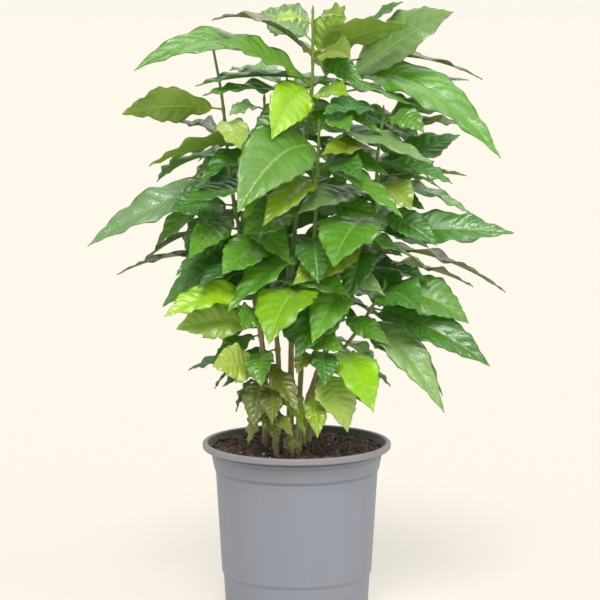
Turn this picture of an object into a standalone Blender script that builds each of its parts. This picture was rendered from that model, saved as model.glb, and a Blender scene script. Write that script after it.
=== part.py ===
"""A potted coffee plant: a grey nursery pot, its soil and ten leafy stems.

Metres, +Z up. The origin is on the pot's axis, on the surface that it stands on, and the front of the
plant looks along -Y. Sizes below are in millimetres and are turned into metres where a mesh is made.
"""

import math
import random

import bmesh
import bpy
from mathutils import Vector
from mathutils.bvhtree import BVHTree

MM = 0.001
WELD = 1e-6
EDGE_ANGLE = 35

# Driving dimensions of the pot, in millimetres
RIM_RADIUS = 95.0
POT_HEIGHT = 170.0
BASE_RADIUS = 72.2
WALL = 1.8
LIP_DEPTH = 6.5
LIP_REACH = 6.5
LIP_WIDTH = 5.5
COLLAR_FOOT = 144.0
COLLAR_TAPER = 5.0
STEP_HEIGHTS = (COLLAR_FOOT, 38.0)
STEP_IN = 1.5
STEP_SLOPE = 3.4
CORNER = 1.2
FOOT_HEIGHT = 5.0
FOOT_WIDTH = 9.0
HUB_RADIUS = 20.0
POT_SIDES = 32
NOTCH_COUNT = 8
NOTCH_WIDTH = 13.0
DRAIN_COUNT = 8
DRAIN_RADIUS = 4.0
DRAIN_SIDES = 6
GAP = 0.35

# The soil
SOIL_TOP = POT_HEIGHT - 6.5
SOIL_RELIEF = 1.6
SOIL_SINK = 1.5
SOIL_RINGS = (1.0, 0.82, 0.62, 0.42, 0.22)
SOIL_SIDES = 26
HOLE_DEPTH = 28.0
HOLE_ROOM = 0.6

# The stems
STEM_FOOT_RADIUS = 3.1
STEM_TOP_RADIUS = 1.3
STEM_SIDES = 6
STEM_STEP = 46.0

# The leaves
BLADE_THICKNESS = 0.8
RIB_DEPTH = 0.5
PETIOLE_RADIUS = 1.0
PETIOLE_LENGTH = 11.0
STATION_SPACING = 24.6
FEWEST_STATIONS = 4
MOST_STATIONS = 7
WIDEST_AT = 0.9
FULLNESS = 0.8
DRIP_TIP = 0.55
DRIP_ONSET = 5
ARCH_AT = 0.5
FOLD = (0.08, 0.26)
WAVE = (1.2, 2.8)
BOW = 7.0
FIRST_SEED = 40
CLEARANCE = 0.8
RIM_ROOM = 3.0
SLIDES = (0, 5, -5, 10, -10)
SWINGS = (6, 12, 18, 25, 33, 42)

# Each stem passes through these points: height, x, y
STEMS = {
    "stem_tall": [(164, -8, -2), (245, -6, 0), (355, -4, 4), (435, 4, 5), (525, 15, 5), (598, 16, 5)],
    "stem_front": [(164, 2, -18), (255, 5, -24), (335, 14, -26), (425, 20, -24), (488, 22, -22)],
    "stem_left_centre": [(164, -22, -14), (245, -18, -14), (325, -24, -16), (385, -24, -14), (512, -32, -8)],
    "stem_left": [(164, -32, 12), (250, -33, 12), (330, -46, 9), (420, -64, 4), (516, -74, 0),
                  (562, -82, -2)],
    "stem_right": [(164, 6, 6), (250, 26, 0), (335, 56, -8), (400, 78, -8), (455, 80, -6), (500, 86, -4)],
    "stem_low_right": [(164, 12, 26), (245, 36, 8), (285, 62, -2), (328, 88, -4)],
    "stem_back": [(164, -6, 36), (300, -6, 42), (420, -14, 52), (528, -10, 56)],
    "stem_back_right": [(164, 16, 46), (300, 38, 52), (420, 48, 50), (558, 48, 42)],
    "shoot_front_left": [(164, -20, -38), (225, -31, -42), (292, -36, -40), (334, -40, -44)],
    "shoot_front_right": [(164, -3, -36), (230, 14, -40), (284, 34, -36)],
}

# The leaves that form the front and the outline: height on the stem, tip x, y and z, half width, height
# of the arch over the straight line to the tip, how far the face turns to the front in degrees, and how
# much that turn grows from the stalk to the tip
LEAVES = {
    "stem_tall": [
        (556, -83, -14, 592, 20, 17, 6, 0),
        (530, -159, -25, 543, 23, 34, 26, -40),
        (526, -84, -58, 562, 20, 10, 40, 0),
        (570, -36, 48, 600, 21, 5, 44, 0),
        (550, 48, 4, 606, 18, 4, 52, 0),
        (560, 112, -24, 587, 21, 5, -34, 10),
        (524, -24, -70, 478, 22, 12, 44, 0),
        (552, 52, -52, 556, 18, 8, 36, 0),
        (514, 50, -58, 520, 15, 6, 34, 0),
        (500, -47, -34, 475, 18, 10, 35, 0),
        (516, -92, -28, 519, 15, 8, 14, 0),
        (405, 68, -76, 402, 16, 8, 44, 0),
        (588, -20, -34, 590, 10, 5, 30, 0),
        (590, 46, -32, 596, 11, 5, 34, 0),
    ],
    "stem_front": [
        (468, -56, -122, 412, 34, 22, 36, 10),
        (328, -26, -124, 287, 31, 16, 0, 0),
        (378, 21, -76, 339, 20, 10, 6, 0),
        (396, 46, -62, 369, 15, 8, 22, 0),
        (484, 50, -80, 486, 15, 10, 22, 0),
        (440, -32, -104, 398, 19, 10, 14, 0),
        (450, 62, -86, 440, 17, 10, 26, 0),
    ],
    "stem_left_centre": [
        (504, -66, -36, 500, 10, 6, 24, 0),
        (474, -146, -22, 451, 19, 7, -26, 10),
        (362, -133, -24, 310, 27, 14, 40, 0),
        (376, -72, -76, 348, 21, 6, 30, 0),
        (420, -52, -62, 402, 9, 4, 50, 0),
        (402, -68, 30, 398, 15, 10, 4, 0),
    ],
    "stem_left": [
        (504, -174, 10, 499, 24, 6, -46, 10),
        (476, -124, 66, 488, 15, 5, 4, 0),
        (448, -109, 60, 425, 18, 8, 48, 0),
        (432, -208, -10, 369, 22, 8, 38, 10),
        (424, -165, 96, 436, 18, 8, 22, 0),
        (408, -122, -42, 396, 22, 4, 44, 0),
        (398, -104, -80, 364, 17, 6, 22, 0),
        (384, -159, 58, 344, 16, 14, 5, 0),
        (350, -183, 38, 335, 16, 14, 4, 0),
        (492, -50, -72, 466, 16, 8, 10, 0),
    ],
    "stem_right": [
        (434, 166, 50, 476, 20, 5, 30, 0),
        (438, 169, 18, 449, 17, 4, 3, 0),
        (428, 179, 20, 396, 19, 10, 18, 0),
        (430, 112, -54, 410, 17, 6, 40, 0),
        (384, 215, -20, 383, 21, 3, 44, 0),
        (398, 34, -118, 366, 32, 12, 8, 0),
        (366, 212, 30, 318, 17, 14, 7, 0),
        (350, 182, 66, 319, 15, 10, 4, 0),
        (478, 169, 22, 488, 18, 8, 12, 0),
        (490, 168, 78, 504, 18, 8, 20, 0),
        (498, 26, -64, 490, 17, 10, 26, 0),
        (494, 124, -44, 484, 15, 8, 34, 0),
        (462, 26, -72, 446, 16, 8, 24, 0),
        (336, 15, -92, 283, 20, 8, 20, 0),
        (372, 50, -62, 322, 18, 10, 10, 0),
    ],
    "stem_low_right": [
        (322, 171, -22, 293, 25, 12, 42, 0),
        (306, 191, -42, 253, 22, 10, 42, 0),
        (304, 148, 14, 214, 15, 14, 48, 0),
        (290, 145, -62, 210, 20, 20, 28, 0),
        (262, 74, -104, 218, 23, 12, 4, 0),
        (318, 120, -80, 314, 24, 10, 26, 0),
    ],
    "stem_back_right": [
        (534, 200, -32, 458, 27, 30, 30, 0),
        (530, 154, -6, 600, 33, 6, 52, 0),
        (550, 189, 62, 532, 17, 14, 3, 0),
        (520, 176, 76, 531, 18, 4, 9, 0),
        (556, 106, 30, 610, 16, 8, 20, 0),
        (396, -66, 86, 372, 27, 8, 56, 0),
        (350, -62, 88, 322, 27, 8, 56, 0),
        (304, -60, 84, 276, 25, 8, 56, 0),
    ],
    "stem_back": [
        (522, -70, 110, 540, 20, 8, 10, 0),
        (512, 40, 110, 530, 20, 8, 12, 0),
    ],
    "shoot_front_left": [
        (328, -128, -82, 308, 18, 8, 34, 0),
        (292, -118, -56, 292, 21, 8, 56, 0),
        (246, -82, -72, 258, 20, 5, 62, 0),
        (306, -52, -92, 296, 14, 6, 40, 0),
        (250, -111, 34, 237, 14, 10, 24, 0),
        (240, -86, -4, 228, 8, 16, 6, 0),
        (228, -61, -22, 204, 8, 20, 6, 0),
        (244, -42, -66, 196, 15, 8, 10, 0),
        (236, 8, -66, 188, 14, 12, 6, 0),
        (216, -18, -72, 182, 12, 8, 4, 0),
        (268, -34, -88, 240, 15, 8, 20, 0),
        (232, -24, -92, 200, 12, 8, 12, 0),
        (222, -46, -62, 180, 11, 8, 10, 0),
        (258, 2, -88, 214, 13, 8, 12, 0),
        (204, 6, -84, 178, 10, 6, 8, 0),
    ],
    "shoot_front_right": [
        (246, 50, -68, 192, 26, 10, 6, 0),
        (262, 0, -78, 252, 10, 6, 24, 0),
        (268, 27, -90, 241, 14, 8, 14, 0),
        (224, 30, -82, 196, 12, 8, 12, 0),
    ],
}

# Opposite pairs placed by rule fill the crown all round: lowest and highest pair, first pair's bearing
FILL = {
    "stem_back": (296, 485, 60),
    "stem_back_right": (296, 510, 20),
    "stem_tall": (300, 560, 95),
    "stem_right": (270, 480, 70),
    "stem_left": (250, 480, 130),
    "stem_left_centre": (240, 500, 150),
    "stem_low_right": (232, 300, 100),
    "stem_front": (372, 460, 60),
}
# The crown's reach to either side: height, reach
CROWN = ((180, 34), (230, 62), (280, 100), (340, 135), (420, 150), (500, 120), (600, 70))
SHORTEST_FILL = 60.0
FILL_STEP = 26.0
BEARING_SPREAD = 20
FILL_LENGTH = (112, 156)
WIDEST_HEIGHT = 400
LENGTH_LOSS = 0.2
FRONT_LIMIT = -0.2
FRONT_SHARE = 0.72
SIDEWAYS = 0.78
LEAST_ASIDE = 0.01
FILL_DROP = (0.15, 0.65)
FILL_HALF = (0.19, 0.24)
FILL_ARCH = (0.04, 0.12)
FILL_ROLL = (4, 46)
FILL_TWIST = 15


def smooth_path(points, height):
    """Gives the point of a stem at a height: a smooth curve, upright below its first point."""
    if height <= points[0][0]:
        return Vector((points[0][1], points[0][2], height))
    last = len(points) - 1
    i = 0
    while i < last - 1 and height > points[i + 1][0]:
        i += 1
    low, high = points[i], points[i + 1]
    span = high[0] - low[0]
    t = (height - low[0]) / span
    place = []
    for axis in (1, 2):
        rise_in = 0.0
        if i > 0:
            rise_in = (high[axis] - points[i - 1][axis]) / (high[0] - points[i - 1][0])
        rise_out = (high[axis] - low[axis]) / span
        if i + 1 < last:
            rise_out = (points[i + 2][axis] - low[axis]) / (points[i + 2][0] - low[0])
        place.append(
            (2 * t**3 - 3 * t**2 + 1) * low[axis]
            + (t**3 - 2 * t**2 + t) * span * rise_in
            + (3 * t**2 - 2 * t**3) * high[axis]
            + (t**3 - t**2) * span * rise_out
        )
    return Vector((place[0], place[1], height))


def stem_radius(points, height):
    """A stem tapers evenly from its foot to its top."""
    share = (height - points[0][0]) / (points[-1][0] - points[0][0])
    share = min(max(share, 0.0), 1.0)
    return STEM_FOOT_RADIUS + (STEM_TOP_RADIUS - STEM_FOOT_RADIUS) * share


def draw_habits(leaf, index):
    """Gives a leaf its own fold, waves and sideways bow by seeded draws."""
    draw = random.Random(FIRST_SEED + index)
    leaf["fold"] = draw.uniform(*FOLD)
    leaf["wave"] = draw.uniform(*WAVE) * draw.choice((-1, 1))
    leaf["bow"] = draw.uniform(-BOW, BOW)
    return leaf


def leaf_axis(leaf, u):
    """Gives the midrib's point, its direction and the blade's right side and face at u, from 0 to 1."""
    start, tip = leaf["start"], leaf["tip"]
    chord = tip - start
    level = Vector((chord.x, chord.y, 0.0)).normalized()
    across = level.cross(Vector((0, 0, 1)))
    bend = start + chord * ARCH_AT + Vector((0, 0, 2 * leaf["arch"])) + across * leaf["bow"]
    point = start * (1 - u) ** 2 + bend * 2 * u * (1 - u) + tip * u**2
    along = ((bend - start) * (1 - u) + (tip - bend) * u).normalized()
    right = (across - along * across.dot(along)).normalized()
    face = right.cross(along)
    turn = leaf["roll"] if level.x >= 0 else -leaf["roll"]
    angle = math.radians(turn + leaf["twist"] * (u - 0.5))
    side = right * math.cos(angle) - face * math.sin(angle)
    return point, along, side, side.cross(along)


def blade_share(v):
    """Half width of a coffee leaf along its midrib: a long ellipse that ends in a drip tip."""
    return math.sin(math.pi * v**WIDEST_AT) ** FULLNESS * (1 - DRIP_TIP * v**DRIP_ONSET)


def blade_start(leaf):
    """The share of the midrib that is petiole."""
    return PETIOLE_LENGTH / (leaf["tip"] - leaf["start"]).length


def station_count(leaf):
    """The blade has one wave for every two stations, and more of them on a longer leaf."""
    length = (leaf["tip"] - leaf["start"]).length
    return min(max(round(length / STATION_SPACING), FEWEST_STATIONS), MOST_STATIONS)


def leaf_rings(leaf, swell):
    """Six-sided sections along a leaf: left, middle and right on top, then the same below."""
    first = blade_start(leaf)
    rings = []
    for u in (0.0, first):
        point, _, side, face = leaf_axis(leaf, u)
        reach = PETIOLE_RADIUS + swell
        turns = [math.radians(150 - 60 * corner) for corner in range(6)]
        rings.append([point + side * math.cos(a) * reach + face * math.sin(a) * reach for a in turns])
    count = station_count(leaf)
    for station in range(1, count):
        v = station / count
        point, _, side, face = leaf_axis(leaf, first + (1 - first) * v)
        reach = leaf["half"] * blade_share(v)
        wave = leaf["wave"] * math.cos(math.pi * station) * blade_share(v)
        left = point - side * (reach + swell) + face * (leaf["fold"] * reach + wave)
        right = point + side * (reach + swell) + face * (leaf["fold"] * reach - wave)
        lift = face * (BLADE_THICKNESS / 2 + swell)
        rib = face * RIB_DEPTH
        above = [left + lift, point + lift, right + lift]
        below = [right - lift, point - lift - rib, left - lift]
        rings.append(above + below)
    return rings


def leaf_shell(leaf, swell=0.0, bare=False):
    """Points and triangles of one closed leaf, its faces split alike above and below."""
    rings = leaf_rings(leaf, swell)
    if bare:
        rings = rings[2:]
    points = [point for ring in rings for point in ring]
    faces = [(0, j + 1, j) for j in range(1, 5)]
    for k in range(len(rings) - 1):
        low, high = 6 * k, 6 * (k + 1)
        for j in range(6):
            n = (j + 1) % 6
            if j in (1, 4):
                faces.append((low + j, low + n, high + j))
                faces.append((low + n, high + n, high + j))
            else:
                faces.append((low + j, low + n, high + n))
                faces.append((low + j, high + n, high + j))
    end = 6 * (len(rings) - 1)
    point, _, _, face = leaf_axis(leaf, 1.0)
    lift = face * (BLADE_THICKNESS / 2 + swell)
    above, below = len(points), len(points) + 1
    points += [point + lift, point - lift]
    faces += [(end, end + 1, above), (end + 1, end + 2, above), (end + 2, end + 3, below)]
    faces += [(end + 2, below, above), (end + 3, end + 4, below), (end + 4, end + 5, below)]
    faces += [(end + 5, end, above), (end + 5, above, below)]
    return points, faces


def stem_shell(points, swell=0.0):
    """Points and faces of one closed stem."""
    foot = SOIL_TOP - HOLE_DEPTH + GAP
    top = points[-1][0]
    count = max(4, round((top - points[0][0]) / STEM_STEP))
    heights = [foot] + [points[0][0] + 4 + (top - points[0][0] - 4) * k / count for k in range(count + 1)]
    shell, faces = [], []
    for height in heights:
        centre = smooth_path(points, height)
        reach = stem_radius(points, height) + swell
        for side in range(STEM_SIDES):
            angle = 2 * math.pi * side / STEM_SIDES
            shell.append(centre + Vector((math.cos(angle), math.sin(angle), 0)) * reach)
    for k in range(len(heights) - 1):
        low, high = STEM_SIDES * k, STEM_SIDES * (k + 1)
        for side in range(STEM_SIDES):
            n = (side + 1) % STEM_SIDES
            faces.append((low + side, low + n, high + n, high + side))
    faces.append(tuple(range(STEM_SIDES - 1, -1, -1)))
    faces.append(tuple(high + side for side in range(STEM_SIDES)))
    return shell, faces


def clears_pot(points):
    """True where no point of a leaf dips into the soil or the pot's rim."""
    for point in points:
        if point.z < POT_HEIGHT + RIM_ROOM and math.hypot(point.x, point.y) < RIM_RADIUS + RIM_ROOM:
            return False
    return True


def touches(leaf, stem_trees, placed):
    """True where a leaf, with room round it, meets the pot, a stem or a leaf that is placed already."""
    points, faces = leaf_shell(leaf, CLEARANCE)
    if not clears_pot(points):
        return True
    whole = BVHTree.FromPolygons(points, faces)
    for name, tree in stem_trees.items():
        if name != leaf["stem"] and whole.overlap(tree):
            return True
    blade = BVHTree.FromPolygons(*leaf_shell(leaf, CLEARANCE, bare=True))
    for other in placed:
        if other["stem"] == leaf["stem"]:
            if blade.overlap(other["blade_tree"]):
                return True
        elif whole.overlap(other["whole_tree"]):
            return True
    return False


def swings():
    """Ways to bend a leaf clear, smallest first: how far its tip moves, and to which side."""
    yield 0.0, 0.0
    for reach in SWINGS:
        for eighth in range(8):
            yield reach, math.radians(90 + 45 * eighth * (-1) ** eighth)


def bend_clear(leaf, stem_trees, placed):
    """Swings a leaf's tip aside by the least that leaves it clear, or gives None."""
    tip = leaf["tip"].copy()
    height = leaf["start"].z
    chord = tip - leaf["start"]
    across = Vector((chord.y, -chord.x, 0.0)).normalized()
    up = across.cross(chord.normalized())
    for slide in SLIDES:
        leaf["start"] = smooth_path(STEMS[leaf["stem"]], height + slide)
        for reach, angle in swings():
            leaf["tip"] = tip + (across * math.cos(angle) + up * math.sin(angle)) * reach
            if not touches(leaf, stem_trees, placed):
                return leaf
    return None


def new_leaf(stem, height, tip, half, arch, roll, twist):
    """A leaf's own values, in millimetres and degrees."""
    return {
        "stem": stem,
        "start": smooth_path(STEMS[stem], height),
        "tip": Vector(tip),
        "half": half,
        "arch": arch,
        "roll": roll,
        "twist": twist,
    }


def crown_width(height):
    """How far to either side the crown reaches at a height: it is narrow at its foot and at its top."""
    for low, high in zip(CROWN, CROWN[1:]):
        if height <= high[0]:
            share = max(height - low[0], 0) / (high[0] - low[0])
            return low[1] + (high[1] - low[1]) * share
    return CROWN[-1][1]


def fill_leaves():
    """Opposite pairs, each pair turned a quarter from the last: those at the front turn aside."""
    for stem, (low, high, bearing) in FILL.items():
        draw = random.Random(bearing)
        for step in range(int((high - low) / FILL_STEP) + 1):
            height = low + FILL_STEP * step
            for half_turn in (0, 180):
                stray = draw.uniform(-BEARING_SPREAD, BEARING_SPREAD)
                angle = math.radians(bearing + 90 * step + half_turn + stray)
                aside, back = math.cos(angle), math.sin(angle)
                length = draw.uniform(*FILL_LENGTH) - abs(height - WIDEST_HEIGHT) * LENGTH_LOSS
                if back < FRONT_LIMIT:
                    length *= FRONT_SHARE
                    aside = math.copysign(max(abs(aside), SIDEWAYS), aside)
                    back = -math.sqrt(1 - aside**2)
                fall = draw.uniform(*FILL_DROP)
                start = smooth_path(STEMS[stem], height)
                room = crown_width(height - length * fall) - start.x * math.copysign(1, aside)
                length = min(length, max(room / max(abs(aside), LEAST_ASIDE), SHORTEST_FILL))
                drop = -length * fall
                half = length * draw.uniform(*FILL_HALF)
                arch = length * draw.uniform(*FILL_ARCH)
                roll = draw.uniform(*FILL_ROLL)
                twist = draw.uniform(-FILL_TWIST, FILL_TWIST)
                tip = start + Vector((aside * length, back * length, drop))
                yield new_leaf(stem, height, tip, half, arch, roll, twist)


def place_leaves():
    """All leaves, each bent clear of the pot, the stems and the leaves before it."""
    stem_trees = {}
    for name, points in STEMS.items():
        stem_trees[name] = BVHTree.FromPolygons(*stem_shell(points))
    wanted = [
        new_leaf(stem, row[0], row[1:4], *row[4:])
        for stem, rows in LEAVES.items()
        for row in rows
    ]
    wanted += list(fill_leaves())
    placed = []
    for index, leaf in enumerate(wanted):
        leaf = bend_clear(draw_habits(leaf, index), stem_trees, placed)
        if leaf is None:
            continue
        leaf["whole_tree"] = BVHTree.FromPolygons(*leaf_shell(leaf))
        leaf["blade_tree"] = BVHTree.FromPolygons(*leaf_shell(leaf, bare=True))
        placed.append(leaf)
    return placed


def clear_scene():
    for item in list(bpy.data.objects):
        bpy.data.objects.remove(item, do_unlink=True)


def finish(name, colour, roughness):
    """A plain material of one colour."""
    material = bpy.data.materials.new(name)
    material.use_nodes = True
    shader = material.node_tree.nodes["Principled BSDF"]
    shader.inputs["Base Color"].default_value = (*colour, 1.0)
    shader.inputs["Roughness"].default_value = roughness
    shader.inputs["Metallic"].default_value = 0.0
    return material


def make_object(name, points, faces, material=None):
    """A mesh object from points in millimetres."""
    mesh = bpy.data.meshes.new(name)
    mesh.from_pydata([tuple(c * MM for c in point) for point in points], [], faces)
    mesh.update()
    item = bpy.data.objects.new(name, mesh)
    bpy.context.scene.collection.objects.link(item)
    if material:
        mesh.materials.append(material)
    return item


def turn_profile(name, profile, sides, material=None):
    """A closed solid turned from a closed outline of radius and height points."""
    points, faces = [], []
    count = len(profile)
    for side in range(sides):
        angle = 2 * math.pi * side / sides
        for radius, height in profile:
            points.append((radius * math.cos(angle), radius * math.sin(angle), height))
    for side in range(sides):
        here, there = count * side, count * ((side + 1) % sides)
        for k in range(count):
            n = (k + 1) % count
            faces.append((here + k, there + k, there + n, here + n))
    item = make_object(name, points, faces, material)
    mesh = bmesh.new()
    mesh.from_mesh(item.data)
    bmesh.ops.remove_doubles(mesh, verts=mesh.verts, dist=WELD)
    bmesh.ops.recalc_face_normals(mesh, faces=mesh.faces)
    mesh.to_mesh(item.data)
    mesh.free()
    return item


def join_all(target, parts, operation):
    """One Boolean of a collection of closed parts with the target, applied, and the parts removed."""
    group = bpy.data.collections.new(target.name + "_parts")
    bpy.context.scene.collection.children.link(group)
    for part in parts:
        bpy.context.scene.collection.objects.unlink(part)
        group.objects.link(part)
    cut = target.modifiers.new("join", "BOOLEAN")
    cut.operation = operation
    cut.solver = "EXACT"
    cut.operand_type = "COLLECTION"
    cut.collection = group
    bpy.context.view_layer.objects.active = target
    bpy.ops.object.modifier_apply(modifier=cut.name)
    for part in parts:
        bpy.data.objects.remove(part, do_unlink=True)
    bpy.data.collections.remove(group)


def wall_radius(height):
    """Outer radius of the tapered wall, which steps in a little below the collar and above the foot."""
    under_lip = RIM_RADIUS - LIP_REACH
    at_collar = under_lip - COLLAR_TAPER
    if height >= COLLAR_FOOT:
        return at_collar + COLLAR_TAPER * (height - COLLAR_FOOT) / (POT_HEIGHT - COLLAR_FOOT)
    foot = BASE_RADIUS + STEP_IN * len(STEP_HEIGHTS)
    steps = sum(1 for step in STEP_HEIGHTS if height < step)
    return foot + (at_collar - foot) * height / COLLAR_FOOT - STEP_IN * steps


def pot_profile():
    """Outline of the pot's wall from the middle of its underside, up the outside and down the inside."""
    floor = FOOT_HEIGHT + WALL
    outer = [(0, 0), (HUB_RADIUS, 0), (HUB_RADIUS + 2, FOOT_HEIGHT)]
    outer += [(BASE_RADIUS - FOOT_WIDTH, FOOT_HEIGHT), (BASE_RADIUS - FOOT_WIDTH + 1, 0)]
    outer += [(BASE_RADIUS - CORNER, 0), (wall_radius(CORNER), CORNER)]
    for step in reversed(STEP_HEIGHTS):
        outer += [(wall_radius(step - STEP_SLOPE), step - STEP_SLOPE), (wall_radius(step), step)]
    under = POT_HEIGHT - LIP_DEPTH
    outer += [(wall_radius(under), under), (RIM_RADIUS - CORNER, under), (RIM_RADIUS, under + CORNER)]
    outer += [(RIM_RADIUS, POT_HEIGHT - CORNER), (RIM_RADIUS - CORNER, POT_HEIGHT)]
    mouth = RIM_RADIUS - LIP_WIDTH
    outer += [(mouth + CORNER, POT_HEIGHT), (mouth, POT_HEIGHT - CORNER), (wall_radius(under) - WALL, under)]
    for step in STEP_HEIGHTS:
        outer += [(wall_radius(step - STEP_SLOPE) - WALL, step - STEP_SLOPE)]
    outer += [(wall_radius(floor) - WALL - 1, floor), (0, floor)]
    return outer


def block(name, low, high, turn):
    """A box between two corners, turned about the pot's axis."""
    corners = [(x, y, z) for x in (low[0], high[0]) for y in (low[1], high[1]) for z in (low[2], high[2])]
    c, s = math.cos(turn), math.sin(turn)
    points = [(x * c - y * s, x * s + y * c, z) for x, y, z in corners]
    faces = [(0, 1, 3, 2), (4, 6, 7, 5), (0, 4, 5, 1), (2, 3, 7, 6), (0, 2, 6, 4), (1, 5, 7, 3)]
    return make_object(name, points, faces)


def peg(name, x, y, low, high, radius, sides):
    """An upright prism."""
    points, faces = [], []
    for z in (low, high):
        for side in range(sides):
            angle = 2 * math.pi * side / sides
            points.append((x + radius * math.cos(angle), y + radius * math.sin(angle), z))
    for side in range(sides):
        n = (side + 1) % sides
        faces.append((side, n, sides + n, sides + side))
    faces.append(tuple(range(sides - 1, -1, -1)))
    faces.append(tuple(range(sides, 2 * sides)))
    return make_object(name, points, faces)


def build_pot():
    """The pot: a turned shell, notched at its foot and pierced by drain holes in its floor."""
    plastic = finish("grey_plastic", (0.27, 0.30, 0.34), 0.55)
    pot = turn_profile("pot", pot_profile(), POT_SIDES, plastic)
    cutters = []
    for k in range(NOTCH_COUNT):
        turn = 2 * math.pi * (k + 0.5) / NOTCH_COUNT
        low = (BASE_RADIUS - FOOT_WIDTH - 3, -NOTCH_WIDTH / 2, -2)
        high = (BASE_RADIUS + 6, NOTCH_WIDTH / 2, FOOT_HEIGHT - 1)
        cutters.append(block(f"notch_{k}", low, high, turn))
    for k in range(DRAIN_COUNT):
        angle = 2 * math.pi * k / DRAIN_COUNT
        reach = (HUB_RADIUS + BASE_RADIUS - FOOT_WIDTH) / 2
        x, y = reach * math.cos(angle), reach * math.sin(angle)
        cutters.append(peg(f"drain_{k}", x, y, FOOT_HEIGHT - 3, FOOT_HEIGHT + 5, DRAIN_RADIUS, DRAIN_SIDES))
    join_all(pot, cutters, "DIFFERENCE")
    shade(pot)
    return pot


def soil_height(x, y):
    """The lumpy top of the soil, which sinks a little at the pot's wall."""
    lumps = math.sin(0.11 * x + 1.3) * math.cos(0.13 * y) + 0.6 * math.sin(0.23 * x - 0.19 * y + 0.5)
    return SOIL_TOP + SOIL_RELIEF * lumps - SOIL_SINK * (math.hypot(x, y) / RIM_RADIUS) ** 4


def build_soil():
    """The soil: it fills the pot, with a plain hole for each stem."""
    earth = finish("potting_mix", (0.05, 0.035, 0.025), 0.95)
    floor = FOOT_HEIGHT + WALL + GAP
    wall = [(wall_radius(floor) - WALL - 1 - 2 * GAP, floor)]
    for step in reversed(STEP_HEIGHTS):
        wall.append((wall_radius(step - STEP_SLOPE) - WALL - 2 * GAP, step - STEP_SLOPE))
    edge = wall_radius(SOIL_TOP - 4) - WALL - 2 * GAP
    rings = [edge * share for share in SOIL_RINGS]
    points, faces = [], []
    angles = [2 * math.pi * side / SOIL_SIDES for side in range(SOIL_SIDES)]
    for radius, height in wall:
        points += [(radius * math.cos(a), radius * math.sin(a), height) for a in angles]
    for radius in rings:
        for a in angles:
            x, y = radius * math.cos(a), radius * math.sin(a)
            points.append((x, y, soil_height(x, y)))
    rows = len(wall) + len(rings)
    for row in range(rows - 1):
        for side in range(SOIL_SIDES):
            n = (side + 1) % SOIL_SIDES
            low, high = row * SOIL_SIDES, (row + 1) * SOIL_SIDES
            faces.append((low + side, low + n, high + n, high + side))
    last = (rows - 1) * SOIL_SIDES
    points.append((0, 0, soil_height(0, 0)))
    for side in range(SOIL_SIDES):
        faces.append((last + side, last + (side + 1) % SOIL_SIDES, len(points) - 1))
    faces.append(tuple(range(SOIL_SIDES - 1, -1, -1)))
    soil = make_object("soil", points, faces, earth)
    cutters = []
    for name, path in STEMS.items():
        _, x, y = path[0]
        radius = STEM_FOOT_RADIUS + HOLE_ROOM
        low, high = SOIL_TOP - HOLE_DEPTH, SOIL_TOP + 10
        cutters.append(peg("hole_" + name, x, y, low, high, radius, STEM_SIDES))
    join_all(soil, cutters, "DIFFERENCE")
    return soil


def shade(item):
    """Smooth shading with its edges kept where faces meet sharply."""
    item.data.shade_smooth()
    item.data.set_sharp_from_angle(angle=math.radians(EDGE_ANGLE))


def build_stems():
    """Each stem with its leaves, joined to one solid."""
    green = finish("coffee_leaf", (0.06, 0.22, 0.04), 0.4)
    leaves = place_leaves()
    for name, path in STEMS.items():
        stem = make_object(name, *stem_shell(path), green)
        own = [leaf for leaf in leaves if leaf["stem"] == name]
        parts = [make_object(f"{name}_leaf_{k}", *leaf_shell(leaf), green) for k, leaf in enumerate(own)]
        join_all(stem, parts, "UNION")
        shade(stem)


def main():
    clear_scene()
    build_pot()
    build_soil()
    build_stems()


main()
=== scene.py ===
"""The looks of a potted coffee plant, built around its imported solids.

Metres, +Z up, in the solids' own frame: the origin is on the pot's axis, on the surface that it stands on, and
the front looks along -Y. The plant's and the pot's own values are in millimetres, and are turned into metres
where a mesh is made.
"""

import math
import random

import bmesh
import bpy
import numpy as np
from mathutils import Matrix, Vector, noise
from mathutils.bvhtree import BVHTree


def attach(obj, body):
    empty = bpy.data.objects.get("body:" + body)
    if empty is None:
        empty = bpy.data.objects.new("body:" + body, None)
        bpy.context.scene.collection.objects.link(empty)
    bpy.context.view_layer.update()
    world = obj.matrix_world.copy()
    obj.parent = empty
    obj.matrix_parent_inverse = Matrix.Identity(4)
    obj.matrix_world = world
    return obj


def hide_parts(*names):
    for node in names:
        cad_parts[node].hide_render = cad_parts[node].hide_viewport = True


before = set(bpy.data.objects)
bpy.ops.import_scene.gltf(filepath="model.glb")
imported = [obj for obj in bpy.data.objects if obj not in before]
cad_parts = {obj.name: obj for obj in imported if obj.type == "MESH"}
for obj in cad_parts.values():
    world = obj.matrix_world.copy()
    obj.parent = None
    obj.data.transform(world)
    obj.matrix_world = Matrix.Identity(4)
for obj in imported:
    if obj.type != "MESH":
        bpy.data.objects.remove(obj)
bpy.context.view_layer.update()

MM = 0.001

# The pot
RIM_RADIUS = 95.0
POT_HEIGHT = 170.0
BASE_RADIUS = 72.2
WALL = 1.8
LIP_DEPTH = 6.5
LIP_REACH = 6.5
LIP_WIDTH = 5.5
COLLAR_FOOT = 144.0
COLLAR_TAPER = 5.0
STEP_HEIGHTS = (COLLAR_FOOT, 38.0)
STEP_IN = 1.5
STEP_SLOPE = 3.4
CORNER = 1.2
FOOT_HEIGHT = 5.0
FOOT_WIDTH = 9.0
HUB_RADIUS = 20.0
POT_SIDES = 160
NOTCH_COUNT = 8
NOTCH_WIDTH = 13.0
DRAIN_COUNT = 8
DRAIN_RADIUS = 4.0
POT_EDGE = 0.3
GAP = 0.35

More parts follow.
